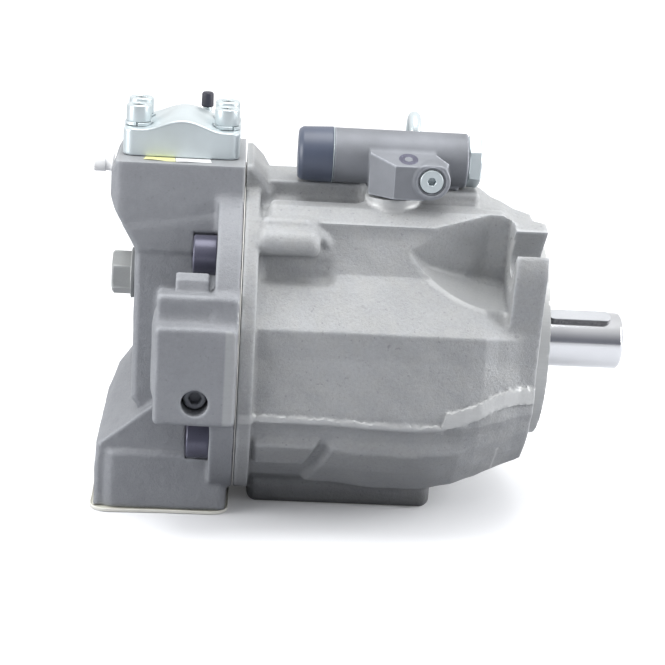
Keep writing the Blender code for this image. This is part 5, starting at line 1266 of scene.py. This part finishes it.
def build_room():
    """The world round the pump: white on the far side, and darker towards the viewer's side."""
    scene = bpy.context.scene
    c = scene.pump_colours
    world = bpy.data.worlds.new("studio")
    scene.world = world
    world.use_nodes = True
    tree = world.node_tree
    where = tree.nodes.new("ShaderNodeTexCoord")
    nearness = tree.nodes.new("ShaderNodeVectorMath")
    nearness.operation = "DOT_PRODUCT"
    nearness.inputs[1].default_value = (0.0, -0.97, -0.24)
    ramp = tree.nodes.new("ShaderNodeValToRGB")
    tree.links.new(where.outputs["Generated"], nearness.inputs[0])
    tree.links.new(nearness.outputs["Value"], ramp.inputs[0])
    stops = ramp.color_ramp.elements
    stops[0].position, stops[0].color = 0.0, (*c.room, 1)
    stops[1].position, stops[1].color = 0.85, (*c.dark_side, 1)
    middle = stops.new(0.45)
    middle.color = (*[0.6 * a + 0.4 * b for a, b in zip(c.room, c.dark_side)], 1)
    tree.links.new(ramp.outputs[0], tree.nodes["Background"].inputs["Color"])


def build_floor():
    """A wide sheet of paper under the pump."""
    scene = bpy.context.scene
    mesh = bpy.data.meshes.new("floor")
    side = 20.0
    mesh.from_pydata([(-side, -side, 0), (side, -side, 0), (side, side, 0), (-side, side, 0)], [], [(0, 1, 2, 3)])
    mesh.materials.append(glowing_paper("paper_floor", scene.pump_colours.floor, scene.pump_colours.floor_bounce))
    ground = bpy.data.objects.new("floor", mesh)
    scene.collection.objects.link(ground)


def add_lamp(name, place, aim, size, watts):
    """A square soft light aimed at a point."""
    light = bpy.data.lights.new(name, "AREA")
    light.shape = "SQUARE"
    light.size = size
    light.energy = watts
    lamp = bpy.data.objects.new(name, light)
    lamp.location = place
    lamp.rotation_euler = (Vector(aim) - Vector(place)).to_track_quat("-Z", "Y").to_euler()
    bpy.context.scene.collection.objects.link(lamp)


def build_camera():
    """The camera, set by its angles, its roll and its distance from the point that it looks at."""
    scene = bpy.context.scene
    s = scene.pump_stage
    camera = bpy.data.cameras.new("camera")
    camera.lens = s.lens
    camera.sensor_width = SENSOR_WIDTH
    viewer = bpy.data.objects.new("camera", camera)
    a, e, roll = (math.radians(v) for v in (s.azimuth, s.elevation, s.roll))
    back = Vector((math.sin(a) * math.cos(e), -math.cos(a) * math.cos(e), math.sin(e)))
    right = Vector((math.cos(a), math.sin(a), 0))
    up = back.cross(right)
    right, up = (right * math.cos(roll) + up * math.sin(roll), up * math.cos(roll) - right * math.sin(roll))
    target = Vector([float(v) for v in np.array(s.target) * MM + ORIGIN])
    turn = Matrix((right, up, back)).transposed().to_4x4()
    viewer.matrix_world = Matrix.Translation(target + back * s.distance) @ turn
    scene.collection.objects.link(viewer)
    scene.camera = viewer


def build_stage():
    """The room, the paper floor, three soft lights and the camera."""
    build_room()
    build_floor()
    add_lamp("overhead_light", (0.1, -0.1, 1.5), (0.1, 0, 0.1), 1.0, 14)
    add_lamp("right_light", (1.35, -0.2, 0.5), (0.15, 0, 0.1), 0.8, 13.5)
    add_lamp("left_light", (-1.2, -0.5, 0.5), (0.1, 0, 0.1), 0.8, 13)
    build_camera()
    bpy.context.scene.view_settings.view_transform = "Standard"


# ---------------------------------------------------------------- operators


class PUMP_OT_materials(bpy.types.Operator):
    """Make every finish of the pump"""
    bl_idname = "pump.materials"
    bl_label = "Finishes"

    def execute(self, context):
        build_materials()
        return {"FINISHED"}


class PUMP_OT_housing(bpy.types.Operator):
    """Build the housing casting"""
    bl_idname = "pump.housing"
    bl_label = "Housing"

    def execute(self, context):
        build_housing()
        return {"FINISHED"}


class PUMP_OT_port_plate(bpy.types.Operator):
    """Build the port plate casting"""
    bl_idname = "pump.port_plate"
    bl_label = "Port plate"

    def execute(self, context):
        build_port_plate()
        return {"FINISHED"}


class PUMP_OT_cover(bpy.types.Operator):
    """Build the pressure port's cover and its film tabs"""
    bl_idname = "pump.cover"
    bl_label = "Port cover"

    def execute(self, context):
        build_cover()
        return {"FINISHED"}


class PUMP_OT_screws(bpy.types.Operator):
    """Build the cover's screws with their lock washers, and the plate screws"""
    bl_idname = "pump.screws"
    bl_label = "Screws"

    def execute(self, context):
        build_cover_screws()
        build_plate_screws()
        return {"FINISHED"}


class PUMP_OT_plugs(bpy.types.Operator):
    """Build the plugs and caps of the port plate"""
    bl_idname = "pump.plugs"
    bl_label = "Plugs"

    def execute(self, context):
        build_plugs()
        return {"FINISHED"}


class PUMP_OT_lid(bpy.types.Operator):
    """Build the suction port's lid"""
    bl_idname = "pump.lid"
    bl_label = "Suction lid"

    def execute(self, context):
        build_lid()
        return {"FINISHED"}


class PUMP_OT_eye(bpy.types.Operator):
    """Build the lifting eye"""
    bl_idname = "pump.eye"
    bl_label = "Lifting eye"

    def execute(self, context):
        build_eye()
        return {"FINISHED"}


class PUMP_OT_valve(bpy.types.Operator):
    """Build the control valve"""
    bl_idname = "pump.valve"
    bl_label = "Control valve"

    def execute(self, context):
        build_valve()
        return {"FINISHED"}


class PUMP_OT_shaft(bpy.types.Operator):
    """Build the drive shaft and its key"""
    bl_idname = "pump.shaft"
    bl_label = "Shaft and key"

    def execute(self, context):
        build_shaft()
        return {"FINISHED"}


class PUMP_OT_inside(bpy.types.Operator):
    """Finish the pieces inside the housing"""
    bl_idname = "pump.inside"
    bl_label = "Inner pieces"

    def execute(self, context):
        dress_kept_nodes()
        return {"FINISHED"}


class PUMP_OT_stage(bpy.types.Operator):
    """Build the floor, the lights and the camera"""
    bl_idname = "pump.stage"
    bl_label = "Stage"

    def execute(self, context):
        build_stage()
        return {"FINISHED"}


OPERATORS = (PUMP_OT_materials, PUMP_OT_housing, PUMP_OT_port_plate, PUMP_OT_cover, PUMP_OT_screws, PUMP_OT_plugs,
             PUMP_OT_lid, PUMP_OT_eye, PUMP_OT_valve, PUMP_OT_shaft, PUMP_OT_inside, PUMP_OT_stage)


class PUMP_PT_panel(bpy.types.Panel):
    """The pump's sizes, colours and operators"""
    bl_idname = "PUMP_PT_panel"
    bl_label = "Axial piston pump"
    bl_space_type = "VIEW_3D"
    bl_region_type = "UI"
    bl_category = "Pump"

    def draw(self, context):
        for group in (context.scene.pump_sizes, context.scene.pump_colours, context.scene.pump_stage):
            column = self.layout.box().column()
            for name in group.__annotations__:
                column.prop(group, name)
        for operator in OPERATORS:
            self.layout.operator(operator.bl_idname)


GROUPS = {"pump_sizes": PumpSizes, "pump_colours": PumpColours, "pump_stage": PumpStage}


def register():
    """Adds the settings, the operators and the panel."""
    for group in GROUPS.values():
        bpy.utils.register_class(group)
    for operator in OPERATORS:
        bpy.utils.register_class(operator)
    bpy.utils.register_class(PUMP_PT_panel)
    for name, group in GROUPS.items():
        setattr(bpy.types.Scene, name, bpy.props.PointerProperty(type=group))


def unregister():
    """Takes them away again, in the opposite order."""
    for name in GROUPS:
        delattr(bpy.types.Scene, name)
    bpy.utils.unregister_class(PUMP_PT_panel)
    for operator in reversed(OPERATORS):
        bpy.utils.unregister_class(operator)
    for group in reversed(GROUPS.values()):
        bpy.utils.unregister_class(group)


def main():
    """Registers the add-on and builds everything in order."""
    register()
    for operator in OPERATORS:
        getattr(bpy.ops.pump, operator.bl_idname.split(".")[1])()
    bpy.context.view_layer.update()


if __name__ == "__main__":
    main()
